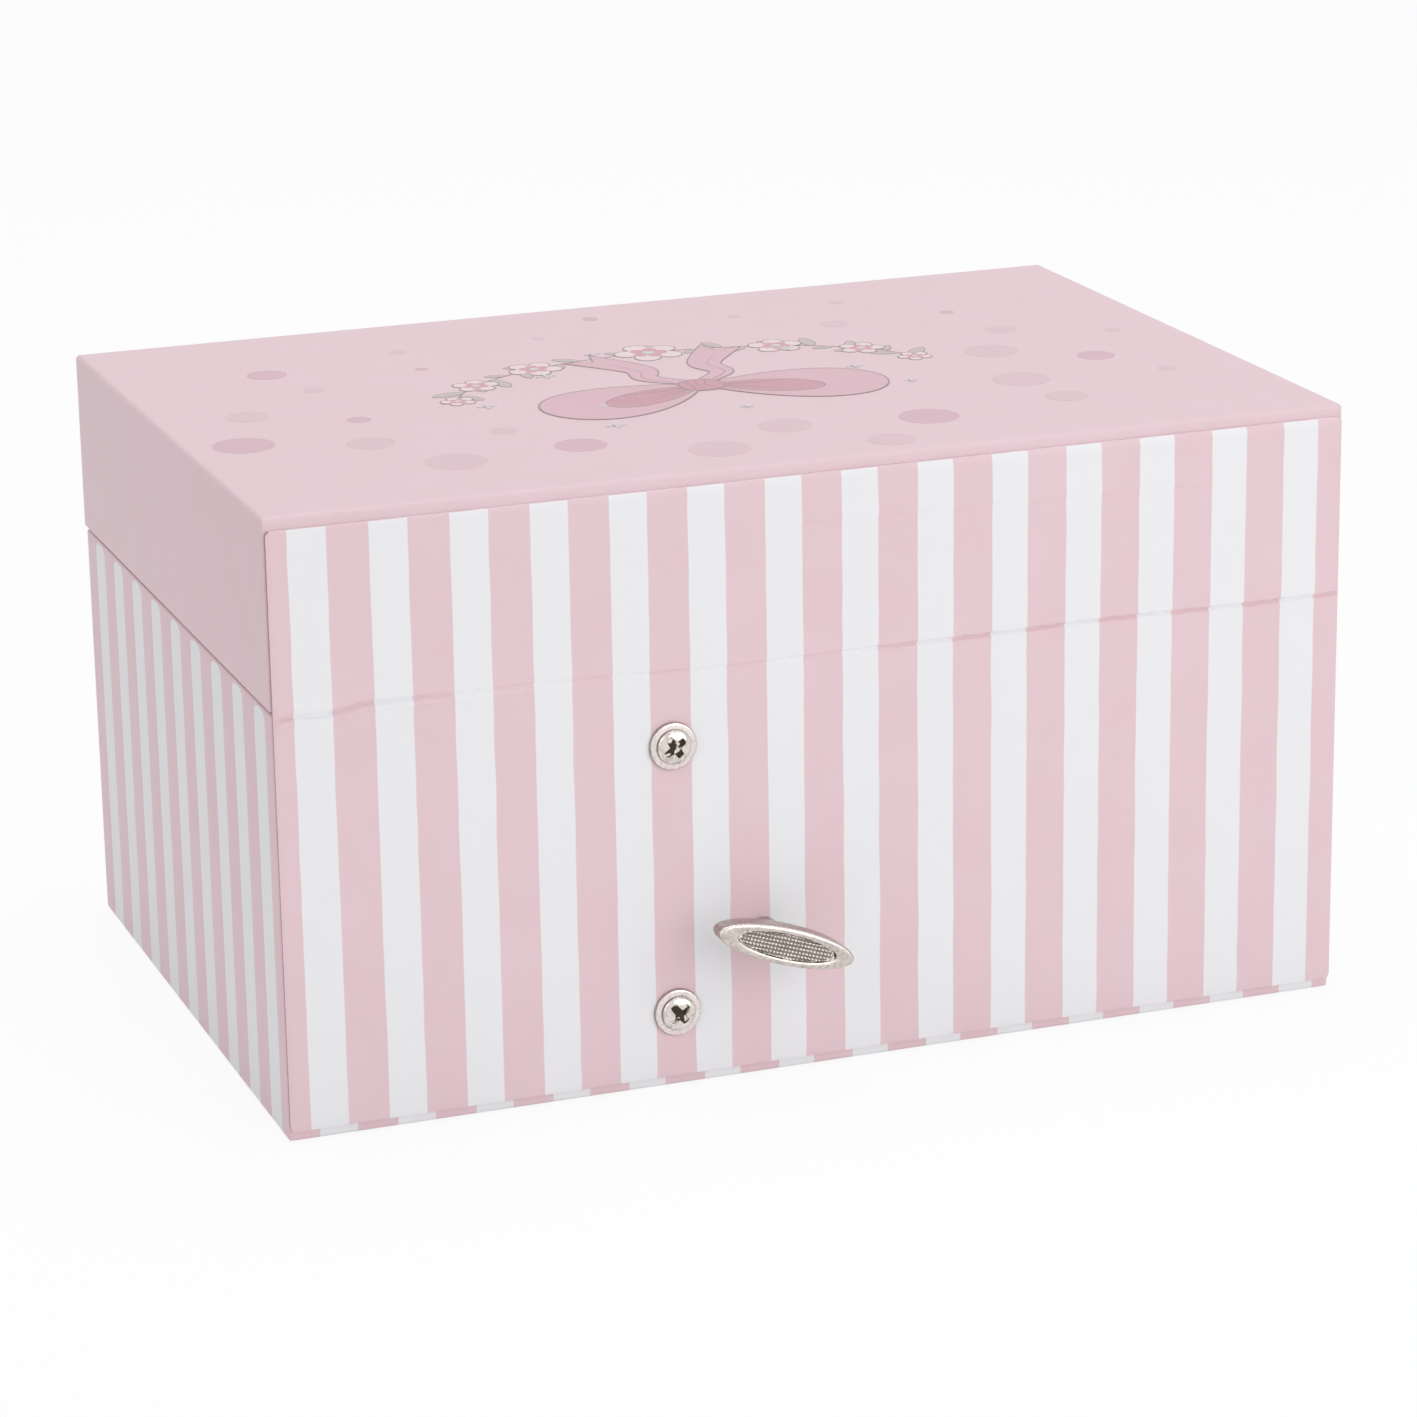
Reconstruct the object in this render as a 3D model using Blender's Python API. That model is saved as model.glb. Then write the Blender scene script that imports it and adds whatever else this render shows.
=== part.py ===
"""Ballerina jewellery box: paper-covered case, hinged lid, musical movement and folding dancer.

Metres, +Z up. The origin is the middle of the underside. The hinge and key side faces -Y.
"""

import math

import bmesh
import bpy
from mathutils import Matrix, Vector

MM = 0.001

# Case
BOX_LENGTH = 180 * MM
BOX_DEPTH = 120 * MM
BOX_HEIGHT = 100 * MM
BASE_HEIGHT = 69.5 * MM  # underside to hinge crease
WALL = 2.5 * MM
BOTTOM = 1.8 * MM
SHEET = 0.4 * MM  # striped spine paper
SHEET_INSET = 1.4 * MM
SHEET_DROP = 2.0 * MM  # below the lid top
LINING = 1.2 * MM
PANEL = 2.0 * MM  # movement cover and dividers
DIVIDER_HEIGHT = 40 * MM
MIRROR_LENGTH = 100 * MM
MIRROR_DEPTH = 66 * MM
MIRROR_THICK = 2.0 * MM

# Clearances
SEAM = 0.3 * MM  # glued or seated faces
RUN = 0.4 * MM  # turning faces
BORE_GAP = 0.2 * MM  # round a shaft
RIM_GAP = 0.4 * MM  # lid over base
ROOM = 1.2 * MM  # cover round the movement

# Fixing and winding
SCREW_X = -25.9 * MM
SCREW_LOW_Z = 12.6 * MM
SCREW_PITCH = 44.2 * MM
SCREW_RADIUS = 1.4 * MM
SCREW_HEAD_RADIUS = 2.65 * MM
SCREW_HEAD = 1.7 * MM
RECESS_DEPTH = 0.9 * MM
WASHER_RADIUS = 4.0 * MM
WASHER = 0.7 * MM
KEY_X = -11.4 * MM
KEY_Z = 25.2 * MM
KEY_TURN = -19.0  # degrees, bow as left in the picture
BOW_LENGTH = 23.8 * MM
BOW_WIDTH = 6.2 * MM
BOW_THICK = 3.5 * MM
BOW_STANDOFF = 8.0 * MM  # wall paper to the back of the bow
BOW_PANEL = 0.4 * MM  # depth of the oval panel
STEM_RADIUS = 2.6 * MM
STEM_GAP = 1.0 * MM
ARBOR_RADIUS = 1.4 * MM

# Movement
BED = 3.0 * MM
BED_EDGE = 3.2 * MM  # plate beyond the screws
BED_WIDTH = 41 * MM
CROWN_MODULE = 0.6 * MM
BARREL_TEETH = 40
CROWN_TEETH = 20
RING_WIDTH = 2.0 * MM
RING_OFFSET = 4.5 * MM  # plate face to the middle of the gear ring
RING_BODY = 1.0 * MM
BARREL_DEPTH = 6.2 * MM
BARREL_WALL = 0.8 * MM
HUB_RADIUS = 2.4 * MM
SPRING_TURNS = 6
RIBBON = 0.35 * MM
CROWN_BODY = 1.5 * MM
SPINDLE_RADIUS = 1.0 * MM
LUG = 1.5 * MM
LUG_WIDTH = 4.0 * MM
DRUM_RADIUS = 6.5 * MM
DRUM_LENGTH = 14 * MM
PIN = 0.45 * MM
NOTES = 18
TRAIN_MODULE = 0.5 * MM
DRUM_GEAR_TEETH = 32
PINION_TEETH = 8
IDLER_TEETH = 24
GEAR_WIDTH = 1.2 * MM
TRAIN_ARBOR = 0.6 * MM
FLY_RADIUS = 4.4 * MM
FLY_HUB = 1.4 * MM
FLY_VANE = 0.7 * MM
FRAME = 1.2 * MM
FRAME_EDGE = 2.0 * MM
COMB = 0.8 * MM
COMB_SEAT = 7.0 * MM
TINE_GAP = 0.35 * MM

# Stop lever
LEVER_WIRE = 0.55 * MM
LEVER_BACK = 6.5 * MM  # pivot in front of the bedplate
LEVER_RISE = 9.5 * MM  # tip above the platform
CLIP = 2.4 * MM

# Dancer
COIL_LENGTH = 12 * MM
COIL_RADIUS = 2.0 * MM
COIL_WIRE = 0.3 * MM
COIL_TURNS = 6
COIL_POINTS = 9
SEAT_FLANGE = 1.0 * MM
FIGURE_HEIGHT = 40 * MM
SKIRT_RADIUS = 11 * MM
SKIRT_FOLDS = 12
SKIRT_CLOTH = 0.6 * MM

# Derived places
half_l = BOX_LENGTH / 2
half_d = BOX_DEPTH / 2
back_out = -half_d + SHEET + SEAM
back_in = back_out + WALL
front_in = half_d - WALL
end_in = half_l - WALL
base_top = BASE_HEIGHT - RIM_GAP / 2
lid_low = BASE_HEIGHT + RIM_GAP / 2
lid_in = BOX_HEIGHT - WALL
floor_top = BOTTOM + SEAM + LINING

bed_back = back_in + SEAM
bed_face = bed_back + BED
bed_x0 = SCREW_X - BED_EDGE
bed_x1 = bed_x0 + BED_WIDTH
bed_z0 = SCREW_LOW_Z - BED_EDGE
bed_z1 = SCREW_LOW_Z + SCREW_PITCH + BED_EDGE
ring_y = bed_face + RING_OFFSET
ring_radius = BARREL_TEETH * CROWN_MODULE / 2
crown_radius = CROWN_TEETH * CROWN_MODULE / 2
crown_add = 0.75 * CROWN_MODULE
crown_ded = 1.15 * CROWN_MODULE
ring_in = ring_radius - crown_ded - RING_BODY
cup_radius = ring_in - BORE_GAP
drum_x = KEY_X
drum_y = ring_y + crown_radius
mesh_z = KEY_Z + ring_radius
crown_tip = mesh_z - crown_add
crown_z0 = mesh_z + crown_ded
crown_z1 = crown_z0 + CROWN_BODY
lug_z0 = crown_z1 + RUN
lug_z1 = lug_z0 + LUG
drum_z0 = lug_z1 + RUN
drum_z1 = drum_z0 + DRUM_LENGTH
gear_z0 = drum_z1 + SEAM
gear_z1 = gear_z0 + GEAR_WIDTH
top_lug_z0 = gear_z1 + RUN
top_lug_z1 = top_lug_z0 + LUG
train_add = 0.75 * TRAIN_MODULE
train_ded = 1.1 * TRAIN_MODULE
drum_gear_radius = DRUM_GEAR_TEETH * TRAIN_MODULE / 2
pinion_radius = PINION_TEETH * TRAIN_MODULE / 2
idler_radius = IDLER_TEETH * TRAIN_MODULE / 2
idler_x = drum_x + drum_gear_radius + pinion_radius
fly_x = idler_x + idler_radius + pinion_radius
wheel_z0 = gear_z1 + RUN
wheel_z1 = wheel_z0 + GEAR_WIDTH
frame_z1 = wheel_z1 + RUN
frame_z0 = lug_z0 - FRAME
fly_z0 = frame_z0 + FRAME + 2 * RUN
fly_z1 = gear_z0 - 2 * RUN
deck_z0 = max(frame_z1 + FRAME, top_lug_z1, bed_z1) + ROOM
deck_z1 = deck_z0 + PANEL

lever_y = bed_face + LEVER_BACK
lever_z = deck_z0 - 2.2 * LEVER_WIRE - SEAM
foot_y = drum_y + FLY_RADIUS + LEVER_WIRE + 2 * RUN
arm_x0 = fly_x + FRAME_EDGE + LEVER_WIRE + RUN
arm_x1 = arm_x0 + CLIP + 2 * LEVER_WIRE + 4 * RUN
cover_x0 = bed_x0 - ROOM - PANEL
cover_x1 = max(arm_x1 + LEVER_WIRE, bed_x1) + ROOM + PANEL
cover_y1 = max(drum_y + drum_gear_radius + train_add, foot_y + LEVER_WIRE) + ROOM + PANEL

coil_z = deck_z1 + SEAM + SEAT_FLANGE + SEAM + COIL_WIRE
coil_bend = 2 * COIL_LENGTH / math.pi
fold_y = drum_y + coil_bend - COIL_LENGTH / 2
fold_z = coil_z + COIL_LENGTH / 2
tip_y = drum_y + coil_bend
tip_z = coil_z + coil_bend

# Local Z along each world axis
TURN = {
    "Z": Matrix.Identity(4),
    "Y": Matrix(((1, 0, 0, 0), (0, 0, 1, 0), (0, -1, 0, 0), (0, 0, 0, 1))),
    "X": Matrix(((0, 0, 1, 0), (1, 0, 0, 0), (0, 1, 0, 0), (0, 0, 0, 1))),
}

PALETTE = {
    "pink_paper": ((0.78, 0.62, 0.66), 0.6, 0.0),
    "stripe_paper": ((0.80, 0.68, 0.71), 0.6, 0.0),
    "velvet": ((0.72, 0.42, 0.50), 0.9, 0.0),
    "card": ((0.75, 0.66, 0.66), 0.8, 0.0),
    "mirror": ((0.85, 0.87, 0.88), 0.05, 1.0),
    "nickel": ((0.62, 0.61, 0.59), 0.25, 1.0),
    "steel": ((0.50, 0.50, 0.52), 0.35, 1.0),
    "brass": ((0.75, 0.58, 0.28), 0.35, 1.0),
    "zinc": ((0.55, 0.56, 0.57), 0.5, 1.0),
    "nylon": ((0.85, 0.84, 0.80), 0.5, 0.0),
    "skin": ((0.86, 0.66, 0.56), 0.5, 0.0),
    "tulle": ((0.90, 0.74, 0.80), 0.8, 0.0),
}


def clear_scene():
    for obj in list(bpy.data.objects):
        bpy.data.objects.remove(obj, do_unlink=True)


def material(name):
    found = bpy.data.materials.get(name)
    if found:
        return found
    colour, roughness, metallic = PALETTE[name]
    made = bpy.data.materials.new(name)
    made.use_nodes = True
    shader = made.node_tree.nodes["Principled BSDF"]
    shader.inputs["Base Color"].default_value = (*colour, 1)
    shader.inputs["Roughness"].default_value = roughness
    shader.inputs["Metallic"].default_value = metallic
    return made


def add(name, bm, finish, axis="Z", origin=(0, 0, 0), smooth=False):
    bmesh.ops.recalc_face_normals(bm, faces=bm.faces[:])
    mesh = bpy.data.meshes.new(name)
    bm.to_mesh(mesh)
    bm.free()
    if smooth:
        mesh.shade_smooth()
        mesh.set_sharp_from_angle(angle=math.radians(35))
    mesh.materials.append(material(finish))
    obj = bpy.data.objects.new(name, mesh)
    obj.matrix_world = Matrix.Translation(Vector(origin)) @ TURN[axis]
    bpy.context.scene.collection.objects.link(obj)
    return obj


def box(name, x0, x1, y0, y1, z0, z1, finish, origin=(0, 0, 0)):
    bm = bmesh.new()
    bmesh.ops.create_cube(bm, size=1)
    middle = Vector(((x0 + x1) / 2, (y0 + y1) / 2, (z0 + z1) / 2)) - Vector(origin)
    bmesh.ops.scale(bm, vec=(x1 - x0, y1 - y0, z1 - z0), verts=bm.verts)
    bmesh.ops.translate(bm, vec=middle, verts=bm.verts)
    return add(name, bm, finish, "Z", origin)


def turn_steps(count):
    return [2 * math.pi * k / count for k in range(count)]


def circle(x, y, radius, steps=16):
    return [(x + radius * math.cos(a), y + radius * math.sin(a)) for a in turn_steps(steps)]


def slab(outline, holes, low, high):
    """A flat outline with holes, from local z low to high."""
    bm = bmesh.new()
    edges = []
    for loop in [outline, *holes]:
        verts = [bm.verts.new((x, y, low)) for x, y in loop]
        for k, vert in enumerate(verts):
            edges.append(bm.edges.new((vert, verts[(k + 1) % len(verts)])))
    bmesh.ops.triangle_fill(bm, use_beauty=True, edges=edges, normal=(0, 0, 1))
    grown = bmesh.ops.extrude_face_region(bm, geom=bm.faces[:])
    moved = [g for g in grown["geom"] if isinstance(g, bmesh.types.BMVert)]
    bmesh.ops.translate(bm, vec=(0, 0, high - low), verts=moved)
    return bm


def turned(profile, steps, closed=False):
    """A profile of (radius, z) turned about local Z. A closed profile makes a ring."""
    bm = bmesh.new()
    verts = [bm.verts.new((r, 0, z)) for r, z in profile]
    edges = [bm.edges.new(pair) for pair in zip(verts, verts[1:])]
    if closed:
        edges.append(bm.edges.new((verts[-1], verts[0])))
    bmesh.ops.spin(bm, geom=verts + edges, axis=(0, 0, 1), cent=(0, 0, 0), angle=2 * math.pi, steps=steps)
    bmesh.ops.remove_doubles(bm, verts=bm.verts[:], dist=0.00001)
    bmesh.ops.recalc_face_normals(bm, faces=bm.faces[:])
    return bm


def raise_faces(bm, faces, inset, height, taper):
    """Small studs grown out of single faces."""
    bmesh.ops.inset_individual(bm, faces=faces, thickness=inset, use_even_offset=True)
    for face in bmesh.ops.extrude_discrete_faces(bm, faces=faces)["faces"]:
        middle = face.calc_center_median()
        normal = face.normal.copy()
        for vert in face.verts:
            vert.co = middle + (vert.co - middle) * taper + normal * height


def gear_outline(teeth, module, add_height, ded_height, phase):
    radius = teeth * module / 2
    pitch = 2 * math.pi / teeth
    steps = (
        (radius - ded_height, -0.28),
        (radius, -0.19),
        (radius + add_height, -0.09),
        (radius + add_height, 0.09),
        (radius, 0.19),
        (radius - ded_height, 0.28),
    )
    points = []
    for k in range(teeth):
        for r, share in steps:
            a = phase + (k + share) * pitch
            points.append((r * math.cos(a), r * math.sin(a)))
    return points


def wire(name, points, radius, finish, origin=(0, 0, 0), sides=1):
    curve = bpy.data.curves.new(name, "CURVE")
    curve.dimensions = "3D"
    curve.bevel_depth = radius
    curve.bevel_resolution = sides
    curve.use_fill_caps = True
    spline = curve.splines.new("POLY")
    spline.points.add(len(points) - 1)
    for point, place in zip(spline.points, points):
        point.co = (*(Vector(place) - Vector(origin)), 1)
    curve.materials.append(material(finish))
    obj = bpy.data.objects.new(name, curve)
    obj.location = origin
    bpy.context.scene.collection.objects.link(obj)
    return obj


def rounded(points, radius):
    """The same path with each corner replaced by a short arc."""
    path = [Vector(points[0])]
    for before, corner, after in zip(points, points[1:], points[2:]):
        corner = Vector(corner)
        a = corner + (Vector(before) - corner).normalized() * radius
        b = corner + (Vector(after) - corner).normalized() * radius
        for t in (0.0, 0.33, 0.67, 1.0):
            path.append(a * (1 - t) ** 2 + corner * 2 * t * (1 - t) + b * t**2)
    path.append(Vector(points[-1]))
    return path


def apply_tool(target, tool, operation):
    tool.hide_render = True
    tool.display_type = "WIRE"
    change = target.modifiers.new(tool.name, "BOOLEAN")
    change.operation = operation
    change.solver = "EXACT"
    change.object = tool


def bore(target, x, y, z, radius, length, axis, steps=16):
    """A round hole along an axis, centred on the point."""
    bm = slab(circle(0, 0, radius, steps), [], -length / 2, length / 2)
    tool = add("tool_" + target.name, bm, "steel", axis, (x, y, z))
    apply_tool(target, tool, "DIFFERENCE")


def back_board(name, x0, x1, y0, y1, z0, z1, finish, holes):
    """An upright board across Y with round holes (x, z, radius)."""
    outline = [(x0, -z1), (x1, -z1), (x1, -z0), (x0, -z0)]
    loops = [circle(x, -z, r) for x, z, r in holes]
    return add(name, slab(outline, loops, y0, y1), finish, "Y")


def build_case():
    screw_hole = SCREW_RADIUS + BORE_GAP
    key_hole = ARBOR_RADIUS + 2 * RUN
    screw_top_z = SCREW_LOW_Z + SCREW_PITCH
    holes = [(SCREW_X, SCREW_LOW_Z, screw_hole), (SCREW_X, screw_top_z, screw_hole), (KEY_X, KEY_Z, key_hole)]
    wall_z0 = BOTTOM + SEAM
    side_y0 = back_in + SEAM
    side_y1 = front_in - SEAM
    box("base_bottom", -half_l, half_l, -half_d, half_d, 0, BOTTOM, "stripe_paper")
    back_board("base_back", -half_l, half_l, back_out, back_in, wall_z0, base_top, "stripe_paper", holes)
    box("base_front", -half_l, half_l, front_in, half_d, wall_z0, base_top, "stripe_paper")
    box("base_left", -half_l, -end_in, side_y0, side_y1, wall_z0, base_top, "stripe_paper")
    box("base_right", end_in, half_l, side_y0, side_y1, wall_z0, base_top, "stripe_paper")
    sheet_x = half_l - SHEET_INSET
    sheet_z1 = BOX_HEIGHT - SHEET_DROP
    back_board("spine_paper", -sheet_x, sheet_x, -half_d, -half_d + SHEET, wall_z0, sheet_z1, "stripe_paper", holes)

    pivot = (0, -half_d, BASE_HEIGHT)
    wall_z1 = lid_in - SEAM
    box("lid_top", -half_l, half_l, back_out, half_d, lid_in, BOX_HEIGHT, "pink_paper", pivot)
    box("lid_back", -half_l, half_l, back_out, back_in, lid_low, wall_z1, "stripe_paper", pivot)
    box("lid_front", -half_l, half_l, front_in, half_d, lid_low, wall_z1, "pink_paper", pivot)
    box("lid_left", -half_l, -end_in, side_y0, side_y1, lid_low, wall_z1, "pink_paper", pivot)
    box("lid_right", end_in, half_l, side_y0, side_y1, lid_low, wall_z1, "pink_paper", pivot)
    liner_x = end_in - SEAM
    liner_z0 = wall_z1 - LINING
    box("lid_lining", -liner_x, liner_x, side_y0, side_y1, liner_z0, wall_z1, "velvet", pivot)
    glass_x = MIRROR_LENGTH / 2
    glass_y = MIRROR_DEPTH / 2
    glass_z1 = liner_z0 - SEAM
    box("mirror", -glass_x, glass_x, -glass_y, glass_y, glass_z1 - MIRROR_THICK, glass_z1, "mirror", pivot)


def build_inside():
    liner_x = end_in - SEAM
    liner_y0 = back_in + SEAM
    panel_z0 = floor_top + SEAM
    wall_z1 = deck_z0 - SEAM
    front_y0 = cover_y1 - PANEL
    side_y1 = front_y0 - SEAM
    box("floor_liner", -liner_x, liner_x, liner_y0, front_in - SEAM, BOTTOM + SEAM, floor_top, "velvet")
    box("cover_front", cover_x0, cover_x1, front_y0, cover_y1, panel_z0, wall_z1, "velvet")
    box("cover_left", cover_x0, cover_x0 + PANEL, liner_y0, side_y1, panel_z0, wall_z1, "velvet")
    box("cover_right", cover_x1 - PANEL, cover_x1, liner_y0, side_y1, panel_z0, wall_z1, "velvet")
    divider_z1 = panel_z0 + DIVIDER_HEIGHT
    box("divider_left", -liner_x, cover_x0 - SEAM, front_y0, cover_y1, panel_z0, divider_z1, "velvet")
    box("divider_right", cover_x1 + SEAM, liner_x, front_y0, cover_y1, panel_z0, divider_z1, "velvet")
    slot = LEVER_WIRE + 2 * RUN
    slot_loop = [
        (arm_x1 - slot, lever_y - 2 * slot),
        (arm_x1 + slot, lever_y - 2 * slot),
        (arm_x1 + slot, lever_y + slot),
        (arm_x1 - slot, lever_y + slot),
    ]
    outline = [(cover_x0, liner_y0), (cover_x1, liner_y0), (cover_x1, cover_y1), (cover_x0, cover_y1)]
    holes = [circle(drum_x, drum_y, SPINDLE_RADIUS + RUN), slot_loop]
    add("cover_top", slab(outline, holes, deck_z0, deck_z1), "velvet")


def build_screw(name, x, z, y, head_radius, head, radius, length, side):
    """A cross-recess screw along Y with its head's underside at y. side is -1 for a head facing -Y."""
    profile = [(0, head), (0.62 * head_radius, 0.92 * head), (head_radius, 0.45 * head), (head_radius, 0)]
    profile += [(radius, 0), (radius, -length), (0, -length)]
    obj = add(name, turned(profile, 16), "nickel", "Y", (x, y, z), True)
    if side < 0:
        obj.matrix_world = obj.matrix_world @ Matrix.Rotation(math.pi, 4, "X")
    arm = 0.62 * head_radius
    slim = 0.16 * head_radius
    cross = [(slim, slim), (arm, slim), (arm, -slim), (slim, -slim), (slim, -arm), (-slim, -arm)]
    cross += [(-slim, -slim), (-arm, -slim), (-arm, slim), (-slim, slim), (-slim, arm), (slim, arm)]
    depth = RECESS_DEPTH * head / SCREW_HEAD
    tool = add("tool_" + name, slab(cross, [], head - depth, head + depth), "steel", "Y", (x, y, z))
    tool.matrix_world = obj.matrix_world
    apply_tool(obj, tool, "DIFFERENCE")


def build_fixings():
    for label, z in (("lower", SCREW_LOW_Z), ("upper", SCREW_LOW_Z + SCREW_PITCH)):
        seat = -half_d - SEAM
        hole = SCREW_RADIUS + BORE_GAP
        ring = [(hole, -WASHER), (WASHER_RADIUS, -WASHER), (WASHER_RADIUS, 0), (hole, 0)]
        add("washer_" + label, turned(ring, 20, True), "nickel", "Y", (SCREW_X, seat, z), True)
        under = seat - WASHER - SEAM
        reach = bed_face - SEAM - under
        build_screw("mount_screw_" + label, SCREW_X, z, under, SCREW_HEAD_RADIUS, SCREW_HEAD, SCREW_RADIUS, reach, -1)


def lens(length, width, steps=18):
    """A pointed oval whose tips are rounded off."""
    points = []
    for a in turn_steps(steps):
        bulge = math.copysign(abs(math.sin(a)) ** 1.3, math.sin(a))
        points.append((length / 2 * math.cos(a), width / 2 * bulge))
    return points


def build_winding():
    bow_y1 = -half_d - BOW_STANDOFF
    bow_y0 = bow_y1 - BOW_THICK
    stem_y1 = -half_d - STEM_GAP
    place = (KEY_X, 0, KEY_Z)
    key = add("winding_key", slab(lens(BOW_LENGTH, BOW_WIDTH), [], bow_y0, bow_y1), "nickel", "Y", place)
    key.matrix_world = key.matrix_world @ Matrix.Rotation(math.radians(-KEY_TURN), 4, "Z")
    sink = BOW_THICK / 3
    hole = ARBOR_RADIUS + BORE_GAP
    blind = bow_y1 - sink / 2
    profile = [(0, bow_y1 - sink), (STEM_RADIUS, bow_y1 - sink), (STEM_RADIUS, stem_y1), (hole, stem_y1), (hole, blind)]
    stem = add("tool_stem", turned(profile + [(0, blind)], 16), "nickel", "Y", place)
    apply_tool(key, stem, "UNION")
    drill = add("tool_drill", slab(circle(0, 0, hole), [], blind, stem_y1 + sink), "nickel", "Y", place)
    apply_tool(key, drill, "DIFFERENCE")
    oval = [(0.35 * BOW_LENGTH * math.cos(a), 0.31 * BOW_WIDTH * math.sin(a)) for a in turn_steps(20)]
    panel = add("tool_panel", slab(oval, [], bow_y0 - BOW_PANEL, bow_y0 + BOW_PANEL), "nickel", "Y", place)
    panel.matrix_world = key.matrix_world
    apply_tool(key, panel, "DIFFERENCE")

    cap_y0 = bed_face + RUN
    cup_y0 = cap_y0 + BARREL_WALL + SEAM
    cup_y1 = cup_y0 + BARREL_DEPTH
    hub_y0 = cup_y0 + RUN
    hub_y1 = cup_y1 - BARREL_WALL - RUN
    arbor_y0 = blind + RUN
    arbor_y1 = cup_y1 + RUN
    profile = [(0, arbor_y1), (ARBOR_RADIUS, arbor_y1), (ARBOR_RADIUS, hub_y1), (HUB_RADIUS, hub_y1)]
    profile += [(HUB_RADIUS, hub_y0), (ARBOR_RADIUS, hub_y0), (ARBOR_RADIUS, arbor_y0), (0, arbor_y0)]
    add("winding_arbor", turned(profile, 16), "steel", "Y", place, True)

    inner = cup_radius - BARREL_WALL
    journal = ARBOR_RADIUS + BORE_GAP
    cup = [(cup_radius, cup_y0), (cup_radius, cup_y1), (journal, cup_y1), (journal, cup_y1 - BARREL_WALL)]
    cup += [(inner, cup_y1 - BARREL_WALL), (inner, cup_y0)]
    add("barrel_cup", turned(cup, 32, True), "brass", "Y", place, True)
    cap = [(cup_radius, cap_y0), (cup_radius, cap_y0 + BARREL_WALL), (journal, cap_y0 + BARREL_WALL), (journal, cap_y0)]
    add("barrel_cap", turned(cap, 32, True), "brass", "Y", place, True)
    ring = gear_outline(BARREL_TEETH, CROWN_MODULE, crown_add, crown_ded, -math.pi / 2)
    ring_bm = slab(ring, [circle(0, 0, ring_in, 40)], ring_y - RING_WIDTH / 2, ring_y + RING_WIDTH / 2)
    add("barrel_gear", ring_bm, "brass", "Y", place)

    first = HUB_RADIUS + RUN
    last = inner - RIBBON - RUN
    coil = [2 * math.pi * SPRING_TURNS * k / (SPRING_TURNS * 16) for k in range(SPRING_TURNS * 16 + 1)]
    radii = [first + (last - first) * k / (len(coil) - 1) for k in range(len(coil))]
    outer = [((r + RIBBON) * math.cos(a), (r + RIBBON) * math.sin(a)) for r, a in zip(radii, coil)]
    inside = [(r * math.cos(a), r * math.sin(a)) for r, a in zip(radii, coil)]
    add("mainspring", slab(outer + inside[::-1], [], hub_y0, hub_y1), "steel", "Y", place)


def build_bedplate():
    hole = SCREW_RADIUS + BORE_GAP
    holes = [
        (SCREW_X, SCREW_LOW_Z, hole),
        (SCREW_X, SCREW_LOW_Z + SCREW_PITCH, hole),
        (KEY_X, KEY_Z, ARBOR_RADIUS + BORE_GAP),
    ]
    plate = back_board("bedplate", bed_x0, bed_x1, bed_back, bed_face, bed_z0, bed_z1, "zinc", holes)
    root = bed_face - BED / 3
    nose = drum_y + LUG_WIDTH / 2
    for label, z0, z1 in (("low", lug_z0, lug_z1), ("top", top_lug_z0, top_lug_z1)):
        lug = box("tool_lug_" + label, drum_x - LUG_WIDTH / 2, drum_x + LUG_WIDTH / 2, root, nose, z0, z1, "zinc")
        apply_tool(plate, lug, "UNION")
    seat_y = drum_y - COMB / 2 - SEAM
    seat_z1 = min(drum_z1, SCREW_LOW_Z + SCREW_PITCH - hole - RUN)
    seat = box("tool_seat", bed_x0, bed_x0 + COMB_SEAT, root, seat_y, drum_z0, seat_z1, "zinc")
    apply_tool(plate, seat, "UNION")
    bore(plate, drum_x, drum_y, drum_z0, SPINDLE_RADIUS + BORE_GAP, 4 * DRUM_LENGTH, "Z")
    build_comb(plate, seat_y, seat_z1)


def build_comb(plate, seat_y, seat_z1):
    tip = drum_x - DRUM_RADIUS - PIN - RUN
    root = bed_x0 + COMB_SEAT
    pitch = DRUM_LENGTH / NOTES
    outline = [(bed_x0, -drum_z0), (bed_x0, -drum_z1)]
    for k in range(NOTES):
        high = drum_z1 - k * pitch
        low = high - pitch + TINE_GAP
        bass = root - 1.5 * TINE_GAP * k / NOTES
        outline += [(bass, -high), (tip, -high), (tip, -low), (bass, -low)]
    outline = outline[::-1]
    screw_x = bed_x0 + COMB_SEAT / 2
    grip = SCREW_RADIUS / 2
    spots = [drum_z0 + DRUM_LENGTH / 5, drum_z0 + 0.68 * DRUM_LENGTH]
    holes = [circle(screw_x, -z, grip + BORE_GAP, 12) for z in spots]
    add("comb", slab(outline, holes, seat_y + SEAM, seat_y + SEAM + COMB), "steel", "Y")
    depth = 5 * grip
    for label, z in zip(("lower", "upper"), spots):
        bore(plate, screw_x, seat_y, z, grip + BORE_GAP, 2 * depth, "Y", 12)
        face = seat_y + SEAM + COMB + SEAM
        reach = COMB + SEAM + depth - SEAM
        build_screw("comb_screw_" + label, screw_x, z, face, 2 * grip, 1.4 * grip, grip, reach, 1)


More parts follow.
